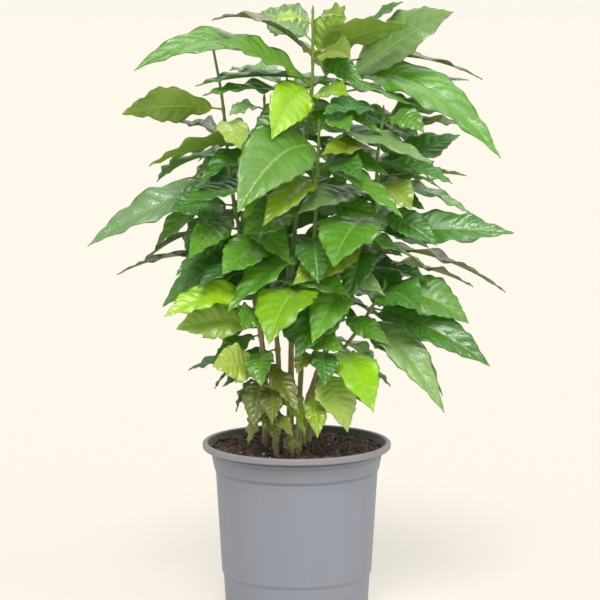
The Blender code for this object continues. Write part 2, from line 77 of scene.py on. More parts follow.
# The soil
SOIL_TOP = POT_HEIGHT - 6.5
SOIL_RELIEF = 1.6
SOIL_SINK = 1.5
HOLE_DEPTH = 28.0
SOIL_SIDES = 180
SOIL_RINGS = 64
CLOD = 1.5

# The stems
STEM_FOOT_RADIUS = 3.1
STEM_TOP_RADIUS = 1.3
STEM_SIDES = 6
STEM_STEP = 46.0
FINE_STEM_SIDES = 12
FINE_STEM_STEP = 3.0
NODE_SWELL = 0.32
NODE_REACH = 2.6
BUD_LENGTH = 9.0
CLUMP_STEM = "shoot_front_right"
CLUMP_PLACE = (-5, -43, 175)
CLUMP_HALF = (7.5, 6.5, 9.0)
CLUMP_COLOUR = (0.36, 0.37, 0.12)
ROOT_COUNT = 9
ROOT_RADIUS = 1.1
ROOT_COLOUR = (0.23, 0.13, 0.085)
ROOT_RUN = ((2.0, -3.0), (5.0, -6.0), (7.5, -9.5), (9.0, -13.0))

# The leaves
BLADE_THICKNESS = 0.8
RIB_DEPTH = 0.5
PETIOLE_RADIUS = 1.0
PETIOLE_LENGTH = 11.0
STATION_SPACING = 24.6
FEWEST_STATIONS = 4
MOST_STATIONS = 7
WIDEST_AT = 0.9
FULLNESS = 0.8
DRIP_TIP = 0.55
DRIP_ONSET = 5
ARCH_AT = 0.5
FOLD = (0.08, 0.26)
WAVE = (1.2, 2.8)
BOW = 7.0
FIRST_SEED = 40
CLEARANCE = 0.8
RIM_ROOM = 3.0
SLIDES = (0, 5, -5, 10, -10)
SWINGS = (6, 12, 18, 25, 33, 42)

# The fine blade: veins and rows of its grid, and its relief in millimetres
VEIN_PAIRS = 9
ROWS_PER_VEIN = 6
BLADE_COLUMNS = 14
FINE_THICKNESS = 0.5
VEIN_SWEEP = 0.15
QUILT = 0.85
VEIN_NARROW = 0.19
GROOVE = 0.45
GROOVE_WIDTH = 1.3
CAMBER = 0.07
RIPPLE = (1.0, 2.6)
SCALLOP = 0.045
RIB_SIDES = 8
RIB_RINGS = 26

# Each stem passes through these points: height, x, y
STEMS = {
    "stem_tall": [(164, -8, -2), (245, -6, 0), (355, -4, 4), (435, 4, 5), (525, 15, 5), (598, 16, 5)],
    "stem_front": [(164, 2, -18), (255, 5, -24), (335, 14, -26), (425, 20, -24), (488, 22, -22)],
    "stem_left_centre": [(164, -22, -14), (245, -18, -14), (325, -24, -16), (385, -24, -14), (512, -32, -8)],
    "stem_left": [(164, -32, 12), (250, -33, 12), (330, -46, 9), (420, -64, 4), (516, -74, 0), (562, -82, -2)],
    "stem_right": [(164, 6, 6), (250, 26, 0), (335, 56, -8), (400, 78, -8), (455, 80, -6), (500, 86, -4)],
    "stem_low_right": [(164, 12, 26), (245, 36, 8), (285, 62, -2), (328, 88, -4)],
    "stem_back": [(164, -6, 36), (300, -6, 42), (420, -14, 52), (528, -10, 56)],
    "stem_back_right": [(164, 16, 46), (300, 38, 52), (420, 48, 50), (558, 48, 42)],
    "shoot_front_left": [(164, -20, -38), (225, -31, -42), (292, -36, -40), (334, -40, -44)],
    "shoot_front_right": [(164, -3, -36), (230, 14, -40), (284, 34, -36)],
}

# Leaf colours, as linear red, green and blue
TONES = {
    "blue": (0.036, 0.188, 0.020),
    "dark": (0.052, 0.222, 0.010),
    "mid": (0.120, 0.350, 0.012),
    # grey is a painted sheen: a whitish grey-green for leaves whose gloss catches the light.
    "grey": (0.230, 0.400, 0.125),
    "olive": (0.250, 0.390, 0.006),
    # lime is partly the leaf's own light green and partly painted light: the glow of leaves lit through from behind.
    "lime": (0.320, 0.620, 0.004),
    "pale": (0.390, 0.530, 0.070),
    "moss": (0.185, 0.225, 0.026),
    "brown": (0.135, 0.155, 0.025),
}

# The leaves that form the front and the outline: height on the stem, tip x, y and z, half width, height
# of the arch over the straight line to the tip, how far the face turns to the front in degrees, how much
# that turn grows from the stalk to the tip, and the tone
LEAVES = {
    "stem_tall": [
        (556, -83, -14, 592, 20, 17, 6, 0, "brown"),
        (530, -159, -25, 543, 23, 34, 26, -40, "mid"),
        (526, -84, -58, 562, 20, 10, 40, 0, "mid"),
        (570, -36, 48, 600, 21, 5, 44, 0, "grey"),
        (550, 48, 4, 606, 18, 4, 52, 0, "olive"),
        (560, 112, -24, 587, 21, 5, -34, 10, "olive"),
        (524, -24, -70, 478, 22, 12, 44, 0, "lime"),
        (552, 52, -52, 556, 18, 8, 36, 0, "olive"),
        (514, 50, -58, 520, 15, 6, 34, 0, "lime"),
        (500, -47, -34, 475, 18, 10, 35, 0, "dark"),
        (516, -92, -28, 519, 15, 8, 14, 0, "mid"),
        (405, 68, -76, 402, 16, 8, 44, 0, "mid"),
        (588, -20, -34, 590, 10, 5, 30, 0, "pale"),
        (590, 46, -32, 596, 11, 5, 34, 0, "olive"),
    ],
    "stem_front": [
        (468, -56, -122, 412, 34, 22, 36, 10, "mid"),
        (328, -26, -124, 287, 31, 16, 0, 0, "lime"),
        (378, 21, -76, 339, 20, 10, 6, 0, "dark"),
        (396, 46, -62, 369, 15, 8, 22, 0, "blue"),
        (484, 50, -80, 486, 15, 10, 22, 0, "mid"),
        (440, -32, -104, 398, 19, 10, 14, 0, "olive"),
        (450, 62, -86, 440, 17, 10, 26, 0, "dark"),
    ],
    "stem_left_centre": [
        (504, -66, -36, 500, 10, 6, 24, 0, "grey"),
        (474, -146, -22, 451, 19, 7, -26, 10, "olive"),
        (362, -133, -24, 310, 27, 14, 40, 0, "dark"),
        (376, -72, -76, 348, 21, 6, 30, 0, "mid"),
        (420, -52, -62, 402, 9, 4, 50, 0, "lime"),
        (402, -68, 30, 398, 15, 10, 4, 0, "grey"),
    ],
    "stem_left": [
        (504, -174, 10, 499, 24, 6, -46, 10, "olive"),
        (476, -124, 66, 488, 15, 5, 4, 0, "brown"),
        (448, -109, 60, 425, 18, 8, 48, 0, "grey"),
        (432, -208, -10, 369, 22, 8, 38, 10, "grey"),
        (424, -165, 96, 436, 18, 8, 22, 0, "grey"),
        (408, -122, -42, 396, 22, 4, 44, 0, "dark"),
        (398, -104, -80, 364, 17, 6, 22, 0, "mid"),
        (384, -159, 58, 344, 16, 14, 5, 0, "brown"),
        (350, -183, 38, 335, 16, 14, 4, 0, "brown"),
        (492, -50, -72, 466, 16, 8, 10, 0, "pale"),
    ],
    "stem_right": [
        (434, 166, 50, 476, 20, 5, 30, 0, "dark"),
        (438, 169, 18, 449, 17, 4, 3, 0, "brown"),
        (428, 179, 20, 396, 19, 10, 18, 0, "grey"),
        (430, 112, -54, 410, 17, 6, 40, 0, "pale"),
        (384, 215, -20, 383, 21, 3, 44, 0, "dark"),
        (398, 34, -118, 366, 32, 12, 8, 0, "mid"),
        (366, 212, 30, 318, 17, 14, 7, 0, "brown"),
        (350, 182, 66, 319, 15, 10, 4, 0, "brown"),
        (478, 169, 22, 488, 18, 8, 12, 0, "olive"),
        (490, 168, 78, 504, 18, 8, 20, 0, "mid"),
        (498, 26, -64, 490, 17, 10, 26, 0, "blue"),
        (494, 124, -44, 484, 15, 8, 34, 0, "mid"),
        (462, 26, -72, 446, 16, 8, 24, 0, "olive"),
        (336, 15, -92, 283, 20, 8, 20, 0, "mid"),
        (372, 50, -62, 322, 18, 10, 10, 0, "dark"),
    ],
    "stem_low_right": [
        (322, 171, -22, 293, 25, 12, 42, 0, "mid"),
        (306, 191, -42, 253, 22, 10, 42, 0, "dark"),
        (304, 148, 14, 214, 15, 14, 48, 0, "blue"),
        (290, 145, -62, 210, 20, 20, 28, 0, "grey"),
        (262, 74, -104, 218, 23, 12, 4, 0, "lime"),
        (318, 120, -80, 314, 24, 10, 26, 0, "dark"),
    ],
    "stem_back_right": [
        (534, 200, -32, 458, 27, 30, 30, 0, "mid"),
        (530, 154, -6, 600, 33, 6, 52, 0, "grey"),
        (550, 189, 62, 532, 17, 14, 3, 0, "brown"),
        (520, 176, 76, 531, 18, 4, 9, 0, "dark"),
        (556, 106, 30, 610, 16, 8, 20, 0, "dark"),
        (396, -66, 86, 372, 27, 8, 56, 0, "blue"),
        (350, -62, 88, 322, 27, 8, 56, 0, "blue"),
        (304, -60, 84, 276, 25, 8, 56, 0, "blue"),
    ],
    "stem_back": [
        (522, -70, 110, 540, 20, 8, 10, 0, "mid"),
        (512, 40, 110, 530, 20, 8, 12, 0, "mid"),
    ],
    "shoot_front_left": [
        (328, -128, -82, 308, 18, 8, 34, 0, "lime"),
        (292, -118, -56, 292, 21, 8, 56, 0, "pale"),
        (246, -82, -72, 258, 20, 5, 62, 0, "pale"),
        (306, -52, -92, 296, 14, 6, 40, 0, "mid"),
        (250, -111, 34, 237, 14, 10, 24, 0, "dark"),
        (240, -86, -4, 228, 8, 16, 6, 0, "dark"),
        (228, -61, -22, 204, 8, 20, 6, 0, "brown"),
        (244, -42, -66, 196, 15, 8, 10, 0, "moss"),
        (236, 8, -66, 188, 14, 12, 6, 0, "olive"),
        (216, -18, -72, 182, 12, 8, 4, 0, "moss"),
        (268, -34, -88, 240, 15, 8, 20, 0, "mid"),
        (232, -24, -92, 200, 12, 8, 12, 0, "moss"),
        (222, -46, -62, 180, 11, 8, 10, 0, "moss"),
        (258, 2, -88, 214, 13, 8, 12, 0, "moss"),
        (204, 6, -84, 178, 10, 6, 8, 0, "moss"),
    ],
    "shoot_front_right": [
        (246, 50, -68, 192, 26, 10, 6, 0, "pale"),
        (262, 0, -78, 252, 10, 6, 24, 0, "pale"),
        (268, 27, -90, 241, 14, 8, 14, 0, "dark"),
        (224, 30, -82, 196, 12, 8, 12, 0, "olive"),
    ],
}

# Opposite pairs placed by rule fill the crown all round: lowest and highest pair, first pair's bearing
FILL = {
    "stem_back": (296, 485, 60),
    "stem_back_right": (296, 510, 20),
    "stem_tall": (300, 560, 95),
    "stem_right": (270, 480, 70),
    "stem_left": (250, 480, 130),
    "stem_left_centre": (240, 500, 150),
    "stem_low_right": (232, 300, 100),
    "stem_front": (372, 460, 60),
}
# The crown's reach to either side: height, reach
CROWN = ((180, 34), (230, 62), (280, 100), (340, 135), (420, 150), (500, 120), (600, 70))
SHORTEST_FILL = 60.0
FILL_STEP = 26.0
BEARING_SPREAD = 20
FILL_LENGTH = (112, 156)
WIDEST_HEIGHT = 400
LENGTH_LOSS = 0.2
FRONT_LIMIT = -0.2
FRONT_SHARE = 0.72
SIDEWAYS = 0.78
LEAST_ASIDE = 0.01
FILL_DROP = (0.15, 0.65)
FILL_HALF = (0.19, 0.24)
FILL_ARCH = (0.04, 0.12)
FILL_ROLL = (4, 46)
FILL_TWIST = 15
FILL_TONES = ("dark", "mid", "blue", "mid", "dark", "olive", "mid", "dark", "grey", "mid")


# The plant's form, as its solids have it

def smooth_path(points, height):
    """Gives the point of a stem at a height: a smooth curve, upright below its first point."""
    if height <= points[0][0]:
        return Vector((points[0][1], points[0][2], height))
    last = len(points) - 1
    i = 0
    while i < last - 1 and height > points[i + 1][0]:
        i += 1
    low, high = points[i], points[i + 1]
    span = high[0] - low[0]
    t = (height - low[0]) / span
    place = []
    for axis in (1, 2):
        rise_in = 0.0
        if i > 0:
            rise_in = (high[axis] - points[i - 1][axis]) / (high[0] - points[i - 1][0])
        rise_out = (high[axis] - low[axis]) / span
        if i + 1 < last:
            rise_out = (points[i + 2][axis] - low[axis]) / (points[i + 2][0] - low[0])
        place.append(
            (2 * t**3 - 3 * t**2 + 1) * low[axis]
            + (t**3 - 2 * t**2 + t) * span * rise_in
            + (3 * t**2 - 2 * t**3) * high[axis]
            + (t**3 - t**2) * span * rise_out
        )
    return Vector((place[0], place[1], height))


def stem_radius(points, height):
    """A stem tapers evenly from its foot to its top."""
    share = (height - points[0][0]) / (points[-1][0] - points[0][0])
    share = min(max(share, 0.0), 1.0)
    return STEM_FOOT_RADIUS + (STEM_TOP_RADIUS - STEM_FOOT_RADIUS) * share


def draw_habits(leaf, index):
    """Gives a leaf its own fold, waves and sideways bow by seeded draws."""
    draw = random.Random(FIRST_SEED + index)
    leaf["fold"] = draw.uniform(*FOLD)
    leaf["wave"] = draw.uniform(*WAVE) * draw.choice((-1, 1))
    leaf["bow"] = draw.uniform(-BOW, BOW)
    return leaf


def leaf_axis(leaf, u):
    """Gives the midrib's point, its direction and the blade's right side and face at u, from 0 to 1."""
    start, tip = leaf["start"], leaf["tip"]
    chord = tip - start
    level = Vector((chord.x, chord.y, 0.0)).normalized()
    across = level.cross(Vector((0, 0, 1)))
    bend = start + chord * ARCH_AT + Vector((0, 0, 2 * leaf["arch"])) + across * leaf["bow"]
    point = start * (1 - u) ** 2 + bend * 2 * u * (1 - u) + tip * u**2
    along = ((bend - start) * (1 - u) + (tip - bend) * u).normalized()
    right = (across - along * across.dot(along)).normalized()
    face = right.cross(along)
    turn = leaf["roll"] if level.x >= 0 else -leaf["roll"]
    angle = math.radians(turn + leaf["twist"] * (u - 0.5))
    side = right * math.cos(angle) - face * math.sin(angle)
    return point, along, side, side.cross(along)


def blade_share(v):
    """Half width of a coffee leaf along its midrib: a long ellipse that ends in a drip tip."""
    return math.sin(math.pi * v**WIDEST_AT) ** FULLNESS * (1 - DRIP_TIP * v**DRIP_ONSET)


def blade_start(leaf):
    """The share of the midrib that is petiole."""
    return PETIOLE_LENGTH / (leaf["tip"] - leaf["start"]).length


def station_count(leaf):
    """The blade has one wave for every two stations, and more of them on a longer leaf."""
    length = (leaf["tip"] - leaf["start"]).length
    return min(max(round(length / STATION_SPACING), FEWEST_STATIONS), MOST_STATIONS)


def leaf_rings(leaf, swell):
    """Six-sided sections along a leaf: left, middle and right on top, then the same below."""
    first = blade_start(leaf)
    rings = []
    for u in (0.0, first):
        point, _, side, face = leaf_axis(leaf, u)
        reach = PETIOLE_RADIUS + swell
        turns = [math.radians(150 - 60 * corner) for corner in range(6)]
        rings.append([point + side * math.cos(a) * reach + face * math.sin(a) * reach for a in turns])
    count = station_count(leaf)
    for station in range(1, count):
        v = station / count
        point, _, side, face = leaf_axis(leaf, first + (1 - first) * v)
        reach = leaf["half"] * blade_share(v)
        wave = leaf["wave"] * math.cos(math.pi * station) * blade_share(v)
        left = point - side * (reach + swell) + face * (leaf["fold"] * reach + wave)
        right = point + side * (reach + swell) + face * (leaf["fold"] * reach - wave)
        lift = face * (BLADE_THICKNESS / 2 + swell)
        rib = face * RIB_DEPTH
        rings.append([left + lift, point + lift, right + lift, right - lift, point - lift - rib, left - lift])
    return rings


def leaf_shell(leaf, swell=0.0, bare=False):
    """Points and triangles of one closed leaf, its faces split alike above and below."""
    rings = leaf_rings(leaf, swell)
    if bare:
        rings = rings[2:]
    points = [point for ring in rings for point in ring]
    faces = [(0, j + 1, j) for j in range(1, 5)]
    for k in range(len(rings) - 1):
        low, high = 6 * k, 6 * (k + 1)
        for j in range(6):
            n = (j + 1) % 6
            if j in (1, 4):
                faces.append((low + j, low + n, high + j))
                faces.append((low + n, high + n, high + j))
            else:
                faces.append((low + j, low + n, high + n))
                faces.append((low + j, high + n, high + j))
    end = 6 * (len(rings) - 1)
    point, _, _, face = leaf_axis(leaf, 1.0)
    lift = face * (BLADE_THICKNESS / 2 + swell)
    above, below = len(points), len(points) + 1
    points += [point + lift, point - lift]
    faces += [(end, end + 1, above), (end + 1, end + 2, above), (end + 2, end + 3, below)]
    faces += [(end + 2, below, above), (end + 3, end + 4, below), (end + 4, end + 5, below)]
    faces += [(end + 5, end, above), (end + 5, above, below)]
    return points, faces


def stem_shell(points, swell=0.0):
    """Points and faces of one closed stem."""
    foot = SOIL_TOP - HOLE_DEPTH + GAP
    top = points[-1][0]
    count = max(4, round((top - points[0][0]) / STEM_STEP))
    heights = [foot] + [points[0][0] + 4 + (top - points[0][0] - 4) * k / count for k in range(count + 1)]
    shell, faces = [], []
    for height in heights:
        centre = smooth_path(points, height)
        reach = stem_radius(points, height) + swell
        for side in range(STEM_SIDES):
            angle = 2 * math.pi * side / STEM_SIDES
            shell.append(centre + Vector((math.cos(angle), math.sin(angle), 0)) * reach)
    for k in range(len(heights) - 1):
        low, high = STEM_SIDES * k, STEM_SIDES * (k + 1)
        for side in range(STEM_SIDES):
            n = (side + 1) % STEM_SIDES
            faces.append((low + side, low + n, high + n, high + side))
    faces.append(tuple(range(STEM_SIDES - 1, -1, -1)))
    faces.append(tuple(high + side for side in range(STEM_SIDES)))
    return shell, faces


def clears_pot(points):
    """True where no point of a leaf dips into the soil or the pot's rim."""
    for point in points:
        if point.z < POT_HEIGHT + RIM_ROOM and math.hypot(point.x, point.y) < RIM_RADIUS + RIM_ROOM:
            return False
    return True


def touches(leaf, stem_trees, placed):
    """True where a leaf, with room round it, meets the pot, a stem or a leaf that is placed already."""
    points, faces = leaf_shell(leaf, CLEARANCE)
    if not clears_pot(points):
        return True
    whole = BVHTree.FromPolygons(points, faces)
    for name, tree in stem_trees.items():
        if name != leaf["stem"] and whole.overlap(tree):
            return True
    blade = BVHTree.FromPolygons(*leaf_shell(leaf, CLEARANCE, bare=True))
    for other in placed:
        if other["stem"] == leaf["stem"]:
            if blade.overlap(other["blade_tree"]):
                return True
        elif whole.overlap(other["whole_tree"]):
            return True
    return False


def swings():
    """Ways to bend a leaf clear, smallest first: how far its tip moves, and to which side."""
    yield 0.0, 0.0
    for reach in SWINGS:
        for eighth in range(8):
            yield reach, math.radians(90 + 45 * eighth * (-1) ** eighth)


def bend_clear(leaf, stem_trees, placed):
    """Swings a leaf's tip aside by the least that leaves it clear, or gives None."""
    tip = leaf["tip"].copy()
    height = leaf["start"].z
    chord = tip - leaf["start"]
    across = Vector((chord.y, -chord.x, 0.0)).normalized()
    up = across.cross(chord.normalized())
    for slide in SLIDES:
        leaf["start"] = smooth_path(STEMS[leaf["stem"]], height + slide)
        for reach, angle in swings():
            leaf["tip"] = tip + (across * math.cos(angle) + up * math.sin(angle)) * reach
            if not touches(leaf, stem_trees, placed):
                return leaf
    return None


def new_leaf(stem, height, tip, half, arch, roll, twist, tone):
    """A leaf's own values, in millimetres and degrees, and its tone."""
    return {
        "stem": stem,
        "start": smooth_path(STEMS[stem], height),
        "tip": Vector(tip),
        "half": half,
        "arch": arch,
        "roll": roll,
        "twist": twist,
        "tone": tone,
    }


def crown_width(height):
    """How far to either side the crown reaches at a height: it is narrow at its foot and at its top."""
    for low, high in zip(CROWN, CROWN[1:]):
        if height <= high[0]:
            share = max(height - low[0], 0) / (high[0] - low[0])
            return low[1] + (high[1] - low[1]) * share
    return CROWN[-1][1]


def fill_leaves():
    """Opposite pairs, each pair turned a quarter from the last: those at the front turn aside."""
    count = 0
    for stem, (low, high, bearing) in FILL.items():
        draw = random.Random(bearing)
        for step in range(int((high - low) / FILL_STEP) + 1):
            height = low + FILL_STEP * step
            for half_turn in (0, 180):
                stray = draw.uniform(-BEARING_SPREAD, BEARING_SPREAD)
                angle = math.radians(bearing + 90 * step + half_turn + stray)
                aside, back = math.cos(angle), math.sin(angle)
                length = draw.uniform(*FILL_LENGTH) - abs(height - WIDEST_HEIGHT) * LENGTH_LOSS
                if back < FRONT_LIMIT:
                    length *= FRONT_SHARE
                    aside = math.copysign(max(abs(aside), SIDEWAYS), aside)
                    back = -math.sqrt(1 - aside**2)
                fall = draw.uniform(*FILL_DROP)
                start = smooth_path(STEMS[stem], height)
                room = crown_width(height - length * fall) - start.x * math.copysign(1, aside)
                length = min(length, max(room / max(abs(aside), LEAST_ASIDE), SHORTEST_FILL))
                drop = -length * fall
                half = length * draw.uniform(*FILL_HALF)
                arch = length * draw.uniform(*FILL_ARCH)
                roll = draw.uniform(*FILL_ROLL)
                twist = draw.uniform(-FILL_TWIST, FILL_TWIST)
                tip = start + Vector((aside * length, back * length, drop))
                tone = FILL_TONES[count % len(FILL_TONES)]
                count += 1
                yield new_leaf(stem, height, tip, half, arch, roll, twist, tone)


def place_leaves():
    """All leaves, each bent clear of the pot, the stems and the leaves before it."""
    stem_trees = {}
    for name, points in STEMS.items():
        stem_trees[name] = BVHTree.FromPolygons(*stem_shell(points))
    wanted = [
        new_leaf(stem, row[0], row[1:4], *row[4:])
        for stem, rows in LEAVES.items()
        for row in rows
    ]
    wanted += list(fill_leaves())
    placed = []
    for index, leaf in enumerate(wanted):
        leaf["index"] = index
        leaf = bend_clear(draw_habits(leaf, index), stem_trees, placed)
        if leaf is None:
            continue
        leaf["whole_tree"] = BVHTree.FromPolygons(*leaf_shell(leaf))
        leaf["blade_tree"] = BVHTree.FromPolygons(*leaf_shell(leaf, bare=True))
        placed.append(leaf)
    return placed


# Modelling helpers

def select_only(item):
    """Deselects everything, then selects one object and makes it active."""
    bpy.ops.object.select_all(action="DESELECT")
    item.select_set(True)
    bpy.context.view_layer.objects.active = item


def apply_modifier(item, modifier):
    select_only(item)
    bpy.ops.object.modifier_apply(modifier=modifier.name)


def smooth(item, degrees):
    """Shades smooth, with an edge kept where faces meet more sharply than this angle."""
    select_only(item)
    bpy.ops.object.shade_smooth_by_angle(angle=math.radians(degrees))


def join(name, items, materials):
    """Joins objects to one piece, which keeps the material slots of its parts; materials is not used."""
    bpy.ops.object.select_all(action="DESELECT")
    for item in items:
        item.select_set(True)
    bpy.context.view_layer.objects.active = items[0]
    bpy.ops.object.join()
    piece = bpy.context.view_layer.objects.active
    piece.name = name
    piece.data.name = name
    return piece


def mesh_object(name, points, faces):
    """An object from points in millimetres."""
    mesh = bpy.data.meshes.new(name)
    mesh.from_pydata([tuple(c * MM for c in point) for point in points], [], faces)
    mesh.update()
    item = bpy.data.objects.new(name, mesh)
    bpy.context.scene.collection.objects.link(item)
    return item


def tube(name, centres, radii, sides, squares=None):
    """A closed tube along centres, with round sections square to its run."""
    points, faces = [], []
    run = (centres[1] - centres[0]).normalized()
    across = run.orthogonal().normalized()
    for k, centre in enumerate(centres):
        ahead = centres[min(k + 1, len(centres) - 1)] - centres[max(k - 1, 0)]
        run = ahead.normalized()
        across = (across - run * across.dot(run)).normalized()
        over = run.cross(across)
        for side in range(sides):
            angle = 2 * math.pi * side / sides
            points.append(centre + (across * math.cos(angle) + over * math.sin(angle)) * radii[k])
    for k in range(len(centres) - 1):
        low, high = sides * k, sides * (k + 1)
        for side in range(sides):
            n = (side + 1) % sides
            faces.append((low + side, low + n, high + n, high + side))
    faces.append(tuple(range(sides - 1, -1, -1)))
    faces.append(tuple(sides * (len(centres) - 1) + side for side in range(sides)))
    return mesh_object(name, points, faces)


def paint(item, colour):
    """Gives every point of an object one colour, in the attribute that the leaf materials read."""
    layer = item.data.color_attributes.new(name="leaf_colour", type="FLOAT_COLOR", domain="POINT")
    values = np.tile(np.array((*colour, 1.0), dtype=np.float32), len(item.data.vertices))
    layer.data.foreach_set("color", values)


# Leaves

def flat_blade():
    """One flat blade: a grid of two skins, from -1 to 1 across and 0 to 1 along, at heights 0.5 and -0.5."""
    bpy.ops.object.select_all(action="DESELECT")
    rows = VEIN_PAIRS * ROWS_PER_VEIN
    bpy.ops.mesh.primitive_grid_add(x_subdivisions=BLADE_COLUMNS, y_subdivisions=rows, size=2)
    blade = bpy.context.object
    blade.name = "flat_blade"
    for vertex in blade.data.vertices:
        vertex.co.y = (vertex.co.y + 1) / 2
        vertex.co.z = 0.5
    skin = blade.modifiers.new("skin", "SOLIDIFY")
    skin.thickness = 1.0
    skin.offset = -1.0
    apply_modifier(blade, skin)
    for face in blade.data.polygons:
        face.material_index = 1 if face.normal.z < -0.5 else 0
        face.use_smooth = True
    return blade


def nearest_vein(v, s):
    """How far, in vein spacings, a place on the blade is from the nearest side vein: the sides alternate."""
    row = v * VEIN_PAIRS + np.where(s < 0, 0.5, 0.0)
    return np.abs(row - np.round(row))


def bend_blade(leaf, flat):
    """A copy of the flat blade, laid along a leaf's own midrib with its fold, waves and quilted veins."""
    count = len(flat.data.vertices)
    grid = np.empty(count * 3)
    flat.data.vertices.foreach_get("co", grid)
    s, v, layer = grid.reshape(count, 3).T
    draw = random.Random(FIRST_SEED + leaf["index"] * 7)
    first = blade_start(leaf)
    far = np.abs(s)
    w = v + VEIN_SWEEP * far**1.4 * 4 * v * (1 - v)
    w = np.clip(w, 0.0, 1.0)
    share = np.sin(np.pi * w**WIDEST_AT) ** FULLNESS * (1 - DRIP_TIP * w**DRIP_ONSET)
    share = np.nan_to_num(share)
    reach = leaf["half"] * share
    turns = station_count(leaf)
    wave = -np.sign(s) * leaf["wave"] * np.cos(np.pi * turns * w) * share * far**1.7
    fold = leaf["fold"] * reach * np.sqrt(far**2 + 0.004)
    camber = CAMBER * reach * np.sin(np.pi * far)
    ripple = draw.uniform(*RIPPLE) * share**0.5 * far**3
    phase = np.where(s < 0, draw.uniform(0, 6.28), draw.uniform(0, 6.28))
    ripple = ripple * np.sin(2 * np.pi * VEIN_PAIRS * 0.5 * v + phase)
    between = np.sin(np.pi * np.clip(far, 0, 1)) ** 0.6
    quilt = -QUILT * np.exp(-((nearest_vein(v, s) / VEIN_NARROW) ** 2)) * between
    groove = -GROOVE * np.exp(-((s * reach / GROOVE_WIDTH) ** 2)) * np.clip(share * 2, 0, 1)
    scallop = 1 + SCALLOP * far**6 * np.cos(2 * np.pi * nearest_vein(v, s))
    out = s * reach * scallop
    lift = fold + wave + camber + ripple + quilt + groove + layer * FINE_THICKNESS
    points = np.empty((count, 3))
    rows = np.round(w, 6)
    for row in np.unique(rows):
        held = rows == row
        point, _, side, face = leaf_axis(leaf, first + (1 - first) * float(row))
        place = np.outer(out[held], side) + np.outer(lift[held], face) + np.array(point)
        points[held] = place * MM
    blade = flat.copy()
    blade.data = flat.data.copy()
    bpy.context.scene.collection.objects.link(blade)
    blade.data.vertices.foreach_set("co", points.ravel())
    paint(blade, leaf_colour(leaf, draw))
    weld = bmesh.new()
    weld.from_mesh(blade.data)
    bmesh.ops.remove_doubles(weld, verts=weld.verts, dist=0.01 * MM)
    weld.to_mesh(blade.data)
    weld.free()
    return blade


def leaf_colour(leaf, draw):
    """The leaf's tone, a little lighter or darker than its neighbour's."""
    level = draw.uniform(0.82, 1.18)
    warm = draw.uniform(0.9, 1.12)
    red, green, blue = TONES[leaf["tone"]]
    return (red * level * warm, green * level, blue * level / warm)


def leaf_rib(leaf):
    """The stalk and the midrib under the blade: one tapering tube from the stem to near the tip."""
    first = blade_start(leaf)
    centres, radii = [], []
    for k in range(RIB_RINGS + 1):
        u = 0.96 * (k / RIB_RINGS) ** 1.15
        point, _, _, face = leaf_axis(leaf, u)
        radius = PETIOLE_RADIUS * (1.0 - 0.78 * u) * (1 + 0.5 * math.exp(-u * 60))
        below = min(max((u - first * 0.7) / (first * 0.6), 0.0), 1.0)
        centres.append(point - face * (radius * 0.55 + 0.1) * below)
        radii.append(radius)
    rib = tube("rib", centres, radii, RIB_SIDES)
    red, green, blue = TONES[leaf["tone"]]
    paint(rib, (red * 1.3 + 0.05, green * 1.1 + 0.06, blue + 0.01))
    return rib


def fine_stem(name, leaves):
    """A stem with its nodes swollen at the leaf pairs, and a pointed bud at its top."""
    path = STEMS[name]
    foot = SOIL_TOP - 9.0
    top = path[-1][0]
    nodes = [leaf["start"].z for leaf in leaves]
    count = round((top - foot) / FINE_STEM_STEP)
    centres, radii = [], []
    for k in range(count + 1):
        height = foot + (top - foot) * k / count
        swell = sum(math.exp(-(((height - node) / NODE_REACH) ** 2)) for node in nodes)
        wobble = 0.06 * noise.noise(Vector((height * 0.09, path[0][1], path[0][2])))
        centres.append(smooth_path(path, height))
        radii.append(stem_radius(path, height) * (1 + NODE_SWELL * min(swell, 1.0) + wobble))
    for k in range(1, 6):
        centres.append(centres[count] + Vector((0, 0, BUD_LENGTH * k / 5)))
        radii.append(STEM_TOP_RADIUS * (1.25 * math.cos(math.pi / 2 * k / 5.4)) + 0.1)
    stem = tube(name + "_axis", centres, radii, FINE_STEM_SIDES)
    for face in stem.data.polygons:
        face.use_smooth = True
    paint(stem, (0.16, 0.26, 0.05))
    return stem


def root_clump(material):
    """The swollen foot of the front shoot, with roots that spread from it into the soil."""
    centre = Vector(CLUMP_PLACE)
    bpy.ops.object.select_all(action="DESELECT")
    bpy.ops.mesh.primitive_ico_sphere_add(subdivisions=4, radius=1)
    clump = bpy.context.object
    for vertex in clump.data.vertices:
        lump = 1 + 0.45 * noise.noise(vertex.co * 2.3) + 0.12 * noise.noise(vertex.co * 7.0)
        spread = Vector([part * half * lump for part, half in zip(vertex.co, CLUMP_HALF)])
        vertex.co = (centre + spread) * MM
    paint(clump, CLUMP_COLOUR)
    parts = [clump]
    for k in range(ROOT_COUNT):
        angle = 2 * math.pi * (k + 0.3 * math.sin(5 * k)) / ROOT_COUNT
        out = Vector((math.cos(angle), math.sin(angle), 0))
        centres = [centre + out * reach + Vector((0, 0, drop)) for reach, drop in ROOT_RUN]
        root = tube("root", centres, [ROOT_RADIUS * (1 - 0.12 * step) for step in range(len(ROOT_RUN))], RIB_SIDES)
        paint(root, ROOT_COLOUR)
        parts.append(root)
    for part in parts:
        part.data.materials.append(material)
        for face in part.data.polygons:
            face.use_smooth = True
    return parts


